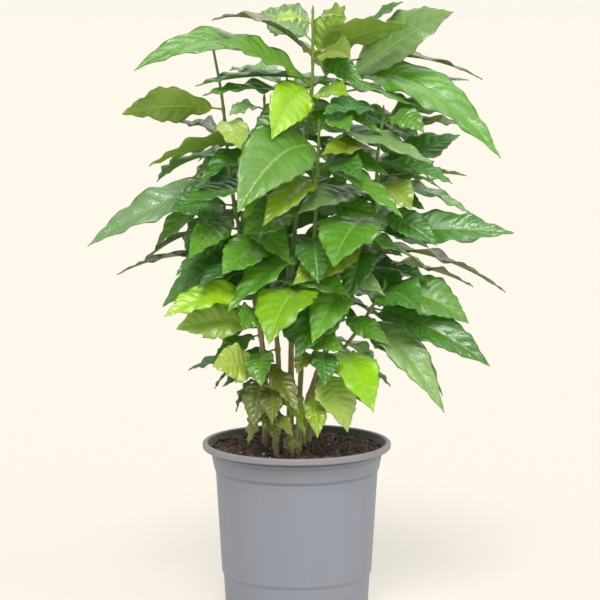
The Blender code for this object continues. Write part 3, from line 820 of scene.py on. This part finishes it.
def build_foliage(materials):
    """One piece for each stem: its axis, its blades and their ribs."""
    leaves = place_leaves()
    flat = flat_blade()
    pieces = []
    for name in STEMS:
        own = [leaf for leaf in leaves if leaf["stem"] == name]
        parts = [fine_stem(name, own)]
        parts[0].data.materials.append(materials["leaf_top"])
        parts[0].data.materials.append(materials["leaf_under"])
        parts[0].data.materials.append(materials["stalk"])
        parts[0].data.materials.append(materials["bark"])
        for face in parts[0].data.polygons:
            face.material_index = 3
        for leaf in own:
            blade = bend_blade(leaf, flat)
            blade.data.materials.append(materials["leaf_top"])
            blade.data.materials.append(materials["leaf_under"])
            rib = leaf_rib(leaf)
            rib.data.materials.append(materials["stalk"])
            for face in rib.data.polygons:
                face.use_smooth = True
            parts += [blade, rib]
        if name == CLUMP_STEM:
            parts += root_clump(materials["stalk"])
        piece = join("leafy_" + name, parts, materials)
        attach(piece, "root")
        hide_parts(name)
        pieces.append(piece)
    bpy.data.objects.remove(flat, do_unlink=True)
    return pieces


# The pot

def wall_radius(height):
    """Outer radius of the tapered wall, which steps in a little below the collar and above the foot."""
    under_lip = RIM_RADIUS - LIP_REACH
    at_collar = under_lip - COLLAR_TAPER
    if height >= COLLAR_FOOT:
        return at_collar + COLLAR_TAPER * (height - COLLAR_FOOT) / (POT_HEIGHT - COLLAR_FOOT)
    foot = BASE_RADIUS + STEP_IN * len(STEP_HEIGHTS)
    steps = sum(1 for step in STEP_HEIGHTS if height < step)
    return foot + (at_collar - foot) * height / COLLAR_FOOT - STEP_IN * steps


def pot_profile():
    """Outline of the pot from near the middle of its underside, up the outside and down the inside."""
    floor = FOOT_HEIGHT + WALL
    outer = [(HUB_RADIUS, 0), (HUB_RADIUS + 2, FOOT_HEIGHT)]
    outer += [(BASE_RADIUS - FOOT_WIDTH, FOOT_HEIGHT), (BASE_RADIUS - FOOT_WIDTH + 1, 0)]
    outer += [(BASE_RADIUS - CORNER, 0), (wall_radius(CORNER), CORNER)]
    for step in reversed(STEP_HEIGHTS):
        outer += [(wall_radius(step - STEP_SLOPE), step - STEP_SLOPE), (wall_radius(step), step)]
    under = POT_HEIGHT - LIP_DEPTH
    outer += [(wall_radius(under), under), (RIM_RADIUS - CORNER, under), (RIM_RADIUS, under + CORNER)]
    outer += [(RIM_RADIUS, POT_HEIGHT - CORNER), (RIM_RADIUS - CORNER, POT_HEIGHT)]
    mouth = RIM_RADIUS - LIP_WIDTH
    outer += [(mouth + CORNER, POT_HEIGHT), (mouth, POT_HEIGHT - CORNER), (wall_radius(under) - WALL, under)]
    for step in STEP_HEIGHTS:
        outer += [(wall_radius(step - STEP_SLOPE) - WALL, step - STEP_SLOPE)]
    outer += [(wall_radius(floor) - WALL - 1, floor), (HUB_RADIUS, floor)]
    return outer


def turn_by_rings(name, profile, sides):
    """A closed turned solid: a circle extruded ring by ring, with both ends filled."""
    bpy.ops.object.select_all(action="DESELECT")
    radius, height = profile[0]
    bpy.ops.mesh.primitive_circle_add(vertices=sides, radius=radius * MM, fill_type="NGON")
    item = bpy.context.object
    item.name = name
    bpy.ops.object.mode_set(mode="EDIT")
    bpy.ops.mesh.select_all(action="SELECT")
    bpy.ops.transform.translate(value=(0, 0, height * MM))
    for wide, tall in profile[1:]:
        bpy.ops.mesh.extrude_region_move(TRANSFORM_OT_translate={"value": (0, 0, (tall - height) * MM)})
        grow = wide / radius
        bpy.ops.transform.resize(value=(grow, grow, 1), center_override=(0, 0, 0))
        radius, height = wide, tall
    bpy.ops.mesh.select_all(action="SELECT")
    bpy.ops.mesh.normals_make_consistent(inside=False)
    bpy.ops.object.mode_set(mode="OBJECT")
    return item


def cut_away(item, cutters):
    """Cuts closed solids out of an object."""
    for cutter in cutters:
        cut = item.modifiers.new("cut", "BOOLEAN")
        cut.operation = "DIFFERENCE"
        cut.solver = "EXACT"
        cut.object = cutter
        apply_modifier(item, cut)
        bpy.data.objects.remove(cutter, do_unlink=True)


def foot_cutters():
    """The drain notches in the foot, and the holes in the floor, as one block and one peg each."""
    cutters = []
    for k in range(NOTCH_COUNT):
        turn = 2 * math.pi * (k + 0.5) / NOTCH_COUNT
        middle = BASE_RADIUS - FOOT_WIDTH / 2 + 1.5
        bpy.ops.mesh.primitive_cube_add(size=1, location=(0, 0, 0))
        block = bpy.context.object
        size = Matrix.Diagonal((FOOT_WIDTH + 9, NOTCH_WIDTH, FOOT_HEIGHT + 1, 1))
        shift = Matrix.Translation((middle, 0, (FOOT_HEIGHT - 3) / 2))
        block.data.transform(Matrix.Scale(MM, 4) @ Matrix.Rotation(turn, 4, "Z") @ shift @ size)
        cutters.append(block)
    reach = (HUB_RADIUS + BASE_RADIUS - FOOT_WIDTH) / 2 * MM
    for k in range(DRAIN_COUNT):
        angle = 2 * math.pi * k / DRAIN_COUNT
        place = (reach * math.cos(angle), reach * math.sin(angle), (FOOT_HEIGHT + 1) * MM)
        bpy.ops.mesh.primitive_cylinder_add(vertices=24, radius=DRAIN_RADIUS * MM, depth=8 * MM, location=place)
        cutters.append(bpy.context.object)
    return cutters


def build_pot(material):
    """The turned pot, notched and drained, with its edges softened."""
    pot = turn_by_rings("pot_shell", pot_profile(), POT_SIDES)
    cut_away(pot, foot_cutters())
    soften = pot.modifiers.new("soften", "BEVEL")
    soften.width = POT_EDGE * MM
    soften.segments = 2
    soften.limit_method = "ANGLE"
    soften.angle_limit = math.radians(25)
    apply_modifier(pot, soften)
    smooth(pot, 12)
    pot.data.materials.clear()
    pot.data.materials.append(material)
    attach(pot, "root")
    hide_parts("pot")
    return pot


# The soil

def soil_height(x, y):
    """The lumpy top of the soil, which sinks a little at the pot's wall."""
    lumps = math.sin(0.11 * x + 1.3) * math.cos(0.13 * y) + 0.6 * math.sin(0.23 * x - 0.19 * y + 0.5)
    return SOIL_TOP + SOIL_RELIEF * lumps - SOIL_SINK * (math.hypot(x, y) / RIM_RADIUS) ** 4


def clod_height(x, y):
    """The soil's top with its clods and crumbs."""
    coarse = noise.fractal(Vector((x * 0.16, y * 0.16, 3.7)), 1.0, 2.1, 4)
    lump = noise.cell(Vector((x * 0.22, y * 0.22, 0.0)))
    return soil_height(x, y) + CLOD * (coarse * 1.3 + (lump - 0.5) * 0.25)


def build_soil(material):
    """The soil's body: it follows the pot's wall, and its top is clods."""
    floor = FOOT_HEIGHT + WALL + GAP
    wall = [(wall_radius(floor) - WALL - 1 - 2 * GAP, floor)]
    for step in reversed(STEP_HEIGHTS):
        wall.append((wall_radius(step - STEP_SLOPE) - WALL - 2 * GAP, step - STEP_SLOPE))
    edge = wall_radius(SOIL_TOP - 4) - WALL - 2 * GAP
    points, faces = [], []
    angles = [2 * math.pi * side / SOIL_SIDES for side in range(SOIL_SIDES)]
    for radius, height in wall:
        points += [(radius * math.cos(a), radius * math.sin(a), height) for a in angles]
    for ring in range(SOIL_RINGS):
        radius = edge * (1 - ring / SOIL_RINGS)
        for a in angles:
            x, y = radius * math.cos(a), radius * math.sin(a)
            points.append((x, y, clod_height(x, y)))
    rows = len(wall) + SOIL_RINGS
    for row in range(rows - 1):
        for side in range(SOIL_SIDES):
            n = (side + 1) % SOIL_SIDES
            low, high = row * SOIL_SIDES, (row + 1) * SOIL_SIDES
            faces.append((low + side, low + n, high + n, high + side))
    last = (rows - 1) * SOIL_SIDES
    points.append((0, 0, clod_height(0, 0)))
    for side in range(SOIL_SIDES):
        faces.append((last + side, last + (side + 1) % SOIL_SIDES, len(points) - 1))
    faces.append(tuple(range(SOIL_SIDES - 1, -1, -1)))
    soil = mesh_object("potting_mix_bed", points, faces)
    smooth(soil, 50)
    soil.data.materials.append(material)
    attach(soil, "root")
    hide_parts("soil")
    return soil


def scatter(name, model, count, sizes, squash, sink, material, seed, reach=84.0):
    """Copies of one small lump, each turned and sized by a seeded draw, lying on the soil."""
    draw = random.Random(seed)
    shape = np.empty(len(model.data.vertices) * 3)
    model.data.vertices.foreach_get("co", shape)
    shape = shape.reshape(-1, 3)
    sides = [tuple(face.vertices) for face in model.data.polygons]
    points, faces = [], []
    for _ in range(count):
        angle = draw.uniform(0, 2 * math.pi)
        radius = reach * math.sqrt(draw.random())
        x, y = radius * math.cos(angle), radius * math.sin(angle)
        size = draw.uniform(*sizes) * draw.uniform(0.6, 1.0)
        spread = Matrix.Diagonal([size * draw.uniform(0.8, 1.2) * part for part in squash])
        tilt = Matrix.Rotation(draw.uniform(-0.5, 0.5), 3, "X") @ Matrix.Rotation(draw.uniform(-0.5, 0.5), 3, "Y")
        turn = Matrix.Rotation(draw.uniform(0, 2 * math.pi), 3, "Z") @ tilt @ spread
        place = shape @ np.array(turn).T + np.array((x, y, clod_height(x, y) + size * squash[2] * (1 - sink)))
        base = len(points)
        points += place.tolist()
        faces += [tuple(base + k for k in side) for side in sides]
    piece = mesh_object(name, points, faces)
    for face in piece.data.polygons:
        face.use_smooth = True
    piece.data.materials.append(material)
    bpy.data.objects.remove(model, do_unlink=True)
    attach(piece, "root")
    return piece


def lump_model(detail, roughness, seed):
    """One rough lump of radius 1, to be copied."""
    bpy.ops.object.select_all(action="DESELECT")
    bpy.ops.mesh.primitive_ico_sphere_add(subdivisions=detail, radius=1)
    lump = bpy.context.object
    for vertex in lump.data.vertices:
        push = noise.noise(vertex.co * 1.3 + Vector((seed, 0, 0)))
        vertex.co *= 1 + roughness * push
    return lump


def chip_model():
    """One flat splinter of bark, 2 long, to be copied."""
    bpy.ops.object.select_all(action="DESELECT")
    bpy.ops.mesh.primitive_cube_add(size=2)
    chip = bpy.context.object
    bpy.ops.object.mode_set(mode="EDIT")
    bpy.ops.mesh.select_all(action="SELECT")
    bpy.ops.mesh.subdivide(number_cuts=1)
    bpy.ops.object.mode_set(mode="OBJECT")
    for vertex in chip.data.vertices:
        jag = noise.noise(vertex.co * 2.1 + Vector((4, 1, 2)))
        vertex.co *= 1 + 0.35 * jag
    return chip


def build_soil_bits(materials):
    """Crumbs, clods, bark splinters, fibres and white grains on the soil."""
    scatter("soil_crumbs", lump_model(1, 0.5, 2), 900, (0.6, 1.9), (1, 1, 0.8), 0.5, materials["soil"], 11)
    scatter("soil_clods", lump_model(2, 0.6, 5), 170, (1.8, 3.6), (1, 1, 0.65), 0.6, materials["soil_warm"], 12)
    scatter("bark_splinters", chip_model(), 150, (1.2, 3.0), (1, 0.45, 0.22), 0.2, materials["splinter"], 13)
    scatter("straw_fibres", chip_model(), 70, (2.5, 6.0), (1, 0.07, 0.07), -1.0, materials["straw"], 14)
    scatter("white_grains", lump_model(2, 0.4, 8), 16, (0.9, 1.6), (1, 1, 0.9), 0.1, materials["perlite"], 15)


# Materials

def new_group(name, inputs, outputs):
    """A shader node group with named sockets: each is a name, a kind and, for an input, its value."""
    group = bpy.data.node_groups.new(name, "ShaderNodeTree")
    for label, kind, value in inputs:
        socket = group.interface.new_socket(label, in_out="INPUT", socket_type="NodeSocket" + kind)
        if value is not None:
            socket.default_value = value
    for label, kind in outputs:
        group.interface.new_socket(label, in_out="OUTPUT", socket_type="NodeSocket" + kind)
    group.nodes.new("NodeGroupInput")
    group.nodes.new("NodeGroupOutput")
    return group


def value_of(tree, operation, first, second=None, third=None, clamp=False):
    """A Math node's output from numbers or other outputs."""
    node = tree.nodes.new("ShaderNodeMath")
    node.operation = operation
    node.use_clamp = clamp
    for socket, given in zip(node.inputs, (first, second, third)):
        if given is None:
            continue
        if isinstance(given, (int, float)):
            socket.default_value = given
        else:
            tree.links.new(given, socket)
    return node.outputs[0]


def ramp_of(tree, given, low, high, from_value=0.0, to_value=1.0):
    """Maps a value from one range to another, smoothly and within it."""
    node = tree.nodes.new("ShaderNodeMapRange")
    node.interpolation_type = "SMOOTHSTEP"
    tree.links.new(given, node.inputs["Value"])
    node.inputs["From Min"].default_value = low
    node.inputs["From Max"].default_value = high
    node.inputs["To Min"].default_value = from_value
    node.inputs["To Max"].default_value = to_value
    return node.outputs["Result"]


def mix_of(tree, share, first, second, blend="MIX"):
    """A colour mixed from two colours or outputs."""
    node = tree.nodes.new("ShaderNodeMix")
    node.data_type = "RGBA"
    node.blend_type = blend
    sockets = (node.inputs["Factor"], node.inputs["A"], node.inputs["B"])
    sockets = (node.inputs[0], node.inputs[6], node.inputs[7])
    for socket, given in zip(sockets, (share, first, second)):
        if isinstance(given, (int, float)):
            socket.default_value = given
        elif isinstance(given, tuple):
            socket.default_value = (*given, 1.0)
        else:
            tree.links.new(given, socket)
    return node.outputs[2]


def noise_of(tree, vector, scale, detail=3.0, rough=0.55):
    node = tree.nodes.new("ShaderNodeTexNoise")
    tree.links.new(vector, node.inputs["Vector"])
    node.inputs["Scale"].default_value = scale
    node.inputs["Detail"].default_value = detail
    node.inputs["Roughness"].default_value = rough
    return node.outputs["Fac"]


def vein_group():
    """Masks of a coffee leaf's midrib, its alternating side veins, the net between them and its margin."""
    outputs = [("Midrib", "Float"), ("Side veins", "Float"), ("Net", "Float"), ("Margin", "Float")]
    group = new_group("leaf_veins", [("Leaf map", "Vector", None), ("Place", "Vector", None)], outputs)
    into, out = group.nodes["Group Input"], group.nodes["Group Output"]
    parts = group.nodes.new("ShaderNodeSeparateXYZ")
    group.links.new(into.outputs["Leaf map"], parts.inputs[0])
    across, along = parts.outputs[0], parts.outputs[1]
    off = value_of(group, "SUBTRACT", across, 0.5)
    far = value_of(group, "MULTIPLY", value_of(group, "ABSOLUTE", off), 2.0)
    group.links.new(ramp_of(group, far, 0.012, 0.055, 1.0, 0.0), out.inputs["Midrib"])
    shift = value_of(group, "MULTIPLY", value_of(group, "LESS_THAN", across, 0.5), 0.5)
    row = value_of(group, "MULTIPLY_ADD", along, float(VEIN_PAIRS), shift)
    stray = noise_of(group, into.outputs["Place"], 90.0, 1.0)
    row = value_of(group, "ADD", row, value_of(group, "MULTIPLY_ADD", stray, 0.10, -0.05))
    near = value_of(group, "ABSOLUTE", value_of(group, "SUBTRACT", value_of(group, "FRACT", value_of(group, "ADD", row, 0.5)), 0.5))
    line = ramp_of(group, near, 0.015, 0.075, 1.0, 0.0)
    fade = ramp_of(group, far, 0.55, 0.98, 1.0, 0.15)
    group.links.new(value_of(group, "MULTIPLY", line, fade), out.inputs["Side veins"])
    net = group.nodes.new("ShaderNodeTexVoronoi")
    net.feature = "DISTANCE_TO_EDGE"
    net.inputs["Scale"].default_value = 420.0
    group.links.new(into.outputs["Place"], net.inputs["Vector"])
    group.links.new(ramp_of(group, net.outputs["Distance"], 0.0, 0.16, 1.0, 0.0), out.inputs["Net"])
    group.links.new(ramp_of(group, far, 0.90, 1.0), out.inputs["Margin"])
    return group


def grain_group():
    """Two scales of mottling from one place: a broad one and a fine one, each from 0 to 1."""
    inputs = [("Place", "Vector", None), ("Broad scale", "Float", 30.0), ("Fine scale", "Float", 400.0)]
    group = new_group("mottle", inputs, [("Broad", "Float"), ("Fine", "Float")])
    into, out = group.nodes["Group Input"], group.nodes["Group Output"]
    for label in ("Broad", "Fine"):
        texture = group.nodes.new("ShaderNodeTexNoise")
        texture.inputs["Detail"].default_value = 3.0
        group.links.new(into.outputs["Place"], texture.inputs["Vector"])
        group.links.new(into.outputs[label + " scale"], texture.inputs["Scale"])
        group.links.new(ramp_of(group, texture.outputs["Fac"], 0.3, 0.7), out.inputs[label])
    return group


def start_material(name):
    """A material with its shader and an Object coordinate output."""
    material = bpy.data.materials.new(name)
    material.use_nodes = True
    tree = material.node_tree
    shader = tree.nodes["Principled BSDF"]
    place = tree.nodes.new("ShaderNodeTexCoord").outputs["Object"]
    return material, tree, shader, place


def place_group(tree, group, place, **values):
    node = tree.nodes.new("ShaderNodeGroup")
    node.node_tree = group
    tree.links.new(place, node.inputs["Place"])
    for label, value in values.items():
        node.inputs[label.replace("_", " ")].default_value = value
    return node


def bump_of(tree, shader, height, strength, distance):
    node = tree.nodes.new("ShaderNodeBump")
    node.inputs["Strength"].default_value = strength
    node.inputs["Distance"].default_value = distance
    tree.links.new(height, node.inputs["Height"])
    tree.links.new(node.outputs["Normal"], shader.inputs["Normal"])


def leaf_material(name, veins, mottle, underside):
    """A blade's skin: its own tone, mottled, with pale veins; glossy above, paler and duller below."""
    material, tree, shader, place = start_material(name)
    own = tree.nodes.new("ShaderNodeAttribute")
    own.attribute_name = "leaf_colour"
    tone = own.outputs["Color"]
    leaf_map = tree.nodes.new("ShaderNodeUVMap")
    leaf_map.uv_map = "UVMap"
    vein = place_group(tree, veins, place)
    tree.links.new(leaf_map.outputs["UV"], vein.inputs["Leaf map"])
    spots = place_group(tree, mottle, place, Broad_scale=38.0, Fine_scale=260.0)
    if underside:
        tone = mix_of(tree, 0.42, tone, (0.26, 0.38, 0.13))
    tone = mix_of(tree, value_of(tree, "MULTIPLY", spots.outputs["Broad"], 0.45), tone, (0.52, 0.64, 0.50), "MULTIPLY")
    tone = mix_of(tree, value_of(tree, "MULTIPLY", spots.outputs["Fine"], 0.30), tone, (0.75, 0.82, 0.70), "MULTIPLY")
    tone = mix_of(tree, value_of(tree, "MULTIPLY", vein.outputs["Net"], 0.08), tone, (0.30, 0.45, 0.12))
    tone = mix_of(tree, value_of(tree, "MULTIPLY", vein.outputs["Side veins"], 0.16), tone, (0.42, 0.60, 0.16))
    tone = mix_of(tree, value_of(tree, "MULTIPLY", vein.outputs["Midrib"], 0.42), tone, (0.50, 0.64, 0.20))
    tone = mix_of(tree, value_of(tree, "MULTIPLY", vein.outputs["Margin"], 0.5), tone, (0.07, 0.075, 0.012))
    tree.links.new(tone, shader.inputs["Base Color"])
    low, high = (0.42, 0.6) if underside else (0.22, 0.40)
    tree.links.new(ramp_of(tree, spots.outputs["Broad"], 0.0, 1.0, low, high), shader.inputs["Roughness"])
    relief = value_of(tree, "MULTIPLY_ADD", vein.outputs["Side veins"], -0.6, spots.outputs["Fine"])
    relief = value_of(tree, "MULTIPLY_ADD", vein.outputs["Net"], -0.5, relief)
    bump_of(tree, shader, relief, 0.35, 0.0004)
    shader.inputs["Specular IOR Level"].default_value = 0.5 if underside else 1.0
    shader.inputs["Subsurface Weight"].default_value = 0.25
    shader.inputs["Subsurface Radius"].default_value = (0.6, 1.0, 0.2)
    shader.inputs["Subsurface Scale"].default_value = 0.002
    return material


def stalk_material(mottle):
    """Leaf stalks and ribs: smooth, pale green."""
    material, tree, shader, place = start_material("stalk")
    own = tree.nodes.new("ShaderNodeAttribute")
    own.attribute_name = "leaf_colour"
    spots = place_group(tree, mottle, place, Broad_scale=60.0, Fine_scale=500.0)
    tone = mix_of(tree, value_of(tree, "MULTIPLY", spots.outputs["Broad"], 0.4), own.outputs["Color"], (0.8, 0.7, 0.5), "MULTIPLY")
    tree.links.new(tone, shader.inputs["Base Color"])
    tree.links.new(ramp_of(tree, spots.outputs["Fine"], 0.0, 1.0, 0.38, 0.5), shader.inputs["Roughness"])
    return material


def bark_material(mottle):
    """A stem's skin: corky beige-brown low down, and green where it is young."""
    material, tree, shader, place = start_material("stem_bark")
    spots = place_group(tree, mottle, place, Broad_scale=70.0, Fine_scale=700.0)
    parts = tree.nodes.new("ShaderNodeSeparateXYZ")
    tree.links.new(place, parts.inputs[0])
    height = value_of(tree, "MULTIPLY_ADD", spots.outputs["Broad"], 0.05, parts.outputs[2])
    age = ramp_of(tree, height, 0.24, 0.42)
    stretch = tree.nodes.new("ShaderNodeMapping")
    stretch.inputs["Scale"].default_value = (1.0, 1.0, 0.12)
    tree.links.new(place, stretch.inputs["Vector"])
    cracks = noise_of(tree, stretch.outputs["Vector"], 900.0, 4.0, 0.7)
    old = mix_of(tree, ramp_of(tree, cracks, 0.35, 0.65), (0.22, 0.16, 0.075), (0.50, 0.42, 0.24))
    moss = value_of(tree, "MULTIPLY", ramp_of(tree, height, 0.20, 0.26, 1.0, 0.0), 0.6)
    old = mix_of(tree, moss, old, (0.42, 0.42, 0.16))
    young = mix_of(tree, spots.outputs["Fine"], (0.17, 0.26, 0.045), (0.27, 0.37, 0.09))
    tree.links.new(mix_of(tree, age, old, young), shader.inputs["Base Color"])
    tree.links.new(ramp_of(tree, age, 0.0, 1.0, 0.75, 0.45), shader.inputs["Roughness"])
    bump_of(tree, shader, cracks, 0.5, 0.0004)
    return material


def pot_material(mottle):
    """Matte blue-grey moulded plastic: faint flow streaks, a scuffed paler lip and a dusty foot, with painted shade
    under the lip, along the step below the collar and on the inside of the wall.
    """
    material, tree, shader, place = start_material("grey_pot_plastic")
    spots = place_group(tree, mottle, place, Broad_scale=14.0, Fine_scale=900.0)
    stretch = tree.nodes.new("ShaderNodeMapping")
    stretch.inputs["Scale"].default_value = (1.0, 1.0, 0.08)
    tree.links.new(place, stretch.inputs["Vector"])
    streak = noise_of(tree, stretch.outputs["Vector"], 60.0, 3.0)
    parts = tree.nodes.new("ShaderNodeSeparateXYZ")
    tree.links.new(place, parts.inputs[0])
    height = parts.outputs[2]
    tone = mix_of(tree, ramp_of(tree, streak, 0.35, 0.65), (0.258, 0.278, 0.340), (0.269, 0.289, 0.354))
    tone = mix_of(tree, value_of(tree, "MULTIPLY", spots.outputs["Broad"], 0.25), tone, (0.25, 0.26, 0.28))
    scuff = value_of(tree, "MULTIPLY", ramp_of(tree, height, 0.1625, 0.1645), 0.75)
    tone = mix_of(tree, scuff, tone, (0.275, 0.262, 0.266))
    # Painted shadow: the lip's underside and the top of the wall under it are darkened nearly to black, where the lip
    # casts its shadow.
    under_lip = ramp_of(tree, height, 0.1585, 0.1625)
    under_lip = value_of(tree, "MULTIPLY", under_lip, ramp_of(tree, height, 0.1634, 0.1644, 1.0, 0.0))
    tone = mix_of(tree, value_of(tree, "MULTIPLY", under_lip, 0.8), tone, (0.050, 0.050, 0.060))
    # Painted shade: a dark line on the sloping face of the step below the collar.
    step = value_of(tree, "MULTIPLY", ramp_of(tree, height, 0.1400, 0.1415), ramp_of(tree, height, 0.1435, 0.1445, 1.0, 0.0))
    tone = mix_of(tree, value_of(tree, "MULTIPLY", step, 0.35), tone, (0.10, 0.11, 0.14))
    flat = tree.nodes.new("ShaderNodeVectorMath")
    flat.operation = "MULTIPLY"
    flat.inputs[1].default_value = (1.0, 1.0, 0.0)
    tree.links.new(place, flat.inputs[0])
    reach = tree.nodes.new("ShaderNodeVectorMath")
    reach.operation = "LENGTH"
    tree.links.new(flat.outputs[0], reach.inputs[0])
    # Painted shade: the inside of the wall above the soil is darkened almost to black, with faint mottling, where
    # shade falls into the pot.
    mouth = ramp_of(tree, height, 0.1625, 0.1680, 0.0862, 0.0900)
    inside = ramp_of(tree, value_of(tree, "SUBTRACT", reach.outputs["Value"], mouth), -0.0006, 0.0002, 1.0, 0.0)
    inside = value_of(tree, "MULTIPLY", inside, ramp_of(tree, height, 0.1560, 0.1580))
    painted_inner_shade = value_of(tree, "MULTIPLY_ADD", spots.outputs["Fine"], 0.12, 0.80)
    tone = mix_of(tree, value_of(tree, "MULTIPLY", inside, painted_inner_shade), tone, (0.030, 0.028, 0.018))
    dust = value_of(tree, "MULTIPLY", ramp_of(tree, height, 0.030, 0.0, 0.0, 1.0), spots.outputs["Fine"])
    tone = mix_of(tree, value_of(tree, "MULTIPLY", dust, 0.4), tone, (0.22, 0.19, 0.15))
    tree.links.new(tone, shader.inputs["Base Color"])
    tree.links.new(ramp_of(tree, spots.outputs["Fine"], 0.0, 1.0, 0.46, 0.58), shader.inputs["Roughness"])
    bump_of(tree, shader, spots.outputs["Fine"], 0.12, 0.0002)
    return material


def soil_material(name, dark, light, mottle):
    """Moist potting mix."""
    material, tree, shader, place = start_material(name)
    spots = place_group(tree, mottle, place, Broad_scale=160.0, Fine_scale=900.0)
    tone = mix_of(tree, spots.outputs["Broad"], dark, light)
    tone = mix_of(tree, value_of(tree, "MULTIPLY", spots.outputs["Fine"], 0.5), tone, dark)
    tree.links.new(tone, shader.inputs["Base Color"])
    tree.links.new(ramp_of(tree, spots.outputs["Broad"], 0.0, 1.0, 0.7, 0.95), shader.inputs["Roughness"])
    bump_of(tree, shader, spots.outputs["Fine"], 0.6, 0.0006)
    return material


def build_materials():
    veins, mottle = vein_group(), grain_group()
    return {
        "leaf_top": leaf_material("leaf_top", veins, mottle, False),
        "leaf_under": leaf_material("leaf_underside", veins, mottle, True),
        "stalk": stalk_material(mottle),
        "bark": bark_material(mottle),
        "pot": pot_material(mottle),
        "soil": soil_material("potting_soil", (0.036, 0.020, 0.017), (0.190, 0.112, 0.094), mottle),
        "soil_warm": soil_material("soil_clod", (0.066, 0.036, 0.031), (0.310, 0.190, 0.165), mottle),
        "splinter": soil_material("bark_splinter", (0.060, 0.036, 0.022), (0.210, 0.140, 0.090), mottle),
        "straw": soil_material("straw", (0.200, 0.140, 0.070), (0.420, 0.320, 0.180), mottle),
        "perlite": soil_material("perlite", (0.450, 0.400, 0.360), (0.750, 0.700, 0.650), mottle),
    }


# The floor, the light and the camera

def build_stage():
    """A plain cream floor under a cream sky, both of one brightness, and soft light from above."""
    bpy.ops.mesh.primitive_plane_add(size=400, location=(0, 0, -0.0004))
    floor = bpy.context.object
    floor.name = "floor"
    material = bpy.data.materials.new("cream_floor")
    material.use_nodes = True
    shader = material.node_tree.nodes["Principled BSDF"]
    shader.inputs["Base Color"].default_value = (0.345, 0.328, 0.294, 1)
    shader.inputs["Roughness"].default_value = 1.0
    shader.inputs["Specular IOR Level"].default_value = 0.0
    shader.inputs["Emission Color"].default_value = (0.97, 0.93, 0.83, 1)
    shader.inputs["Emission Strength"].default_value = 0.52
    floor.data.materials.append(material)
    world = bpy.data.worlds.new("cream_world")
    world.use_nodes = True
    bpy.context.scene.world = world
    tree = world.node_tree
    back = tree.nodes["Background"]
    back.inputs["Color"].default_value = (1.0, 0.99, 0.96, 1)
    back.inputs["Strength"].default_value = 0.55
    seen = tree.nodes.new("ShaderNodeBackground")
    seen.inputs["Color"].default_value = (0.985, 0.939, 0.842, 1)
    seen.inputs["Strength"].default_value = 1.0
    rays = tree.nodes.new("ShaderNodeLightPath")
    choose = tree.nodes.new("ShaderNodeMixShader")
    tree.links.new(rays.outputs["Is Camera Ray"], choose.inputs[0])
    tree.links.new(back.outputs[0], choose.inputs[1])
    tree.links.new(seen.outputs[0], choose.inputs[2])
    tree.links.new(choose.outputs[0], tree.nodes["World Output"].inputs["Surface"])


def add_sun(name, strength, spread, azimuth, elevation, colour):
    """A broad soft light from a bearing: azimuth 0 is in front, and 90 at the right."""
    lamp = bpy.data.lights.new(name, "SUN")
    lamp.energy = strength
    lamp.angle = math.radians(spread)
    lamp.color = colour
    item = bpy.data.objects.new(name, lamp)
    a, e = math.radians(azimuth), math.radians(elevation)
    towards = Vector((math.sin(a) * math.cos(e), -math.cos(a) * math.cos(e), math.sin(e)))
    item.rotation_euler = towards.to_track_quat("Z", "Y").to_euler()
    bpy.context.scene.collection.objects.link(item)


def build_lights():
    add_sun("key_light", 2.1, 25, -4, 56, (1.0, 0.99, 0.95))
    add_sun("fill_light", 0.6, 50, 60, 30, (1.0, 0.99, 0.97))
    add_sun("back_light", 0.9, 50, 170, 50, (1.0, 1.0, 0.95))


def build_camera():
    """The photograph's view: from 2.2 m in front, just above the plant's top, looking slightly down."""
    camera = bpy.data.cameras.new("camera")
    camera.lens = 132.8
    camera.sensor_width = 36.0
    camera.clip_end = 500
    item = bpy.data.objects.new("camera", camera)
    item.location = (0.0033, -2.2, 0.599)
    item.rotation_euler = (math.radians(90 - 7.39), 0, 0)
    bpy.context.scene.collection.objects.link(item)
    bpy.context.scene.camera = item
    bpy.context.scene.view_settings.view_transform = "Standard"


def main():
    materials = build_materials()
    build_pot(materials["pot"])
    build_soil(materials["soil"])
    build_soil_bits(materials)
    build_foliage(materials)
    build_stage()
    build_lights()
    build_camera()


main()
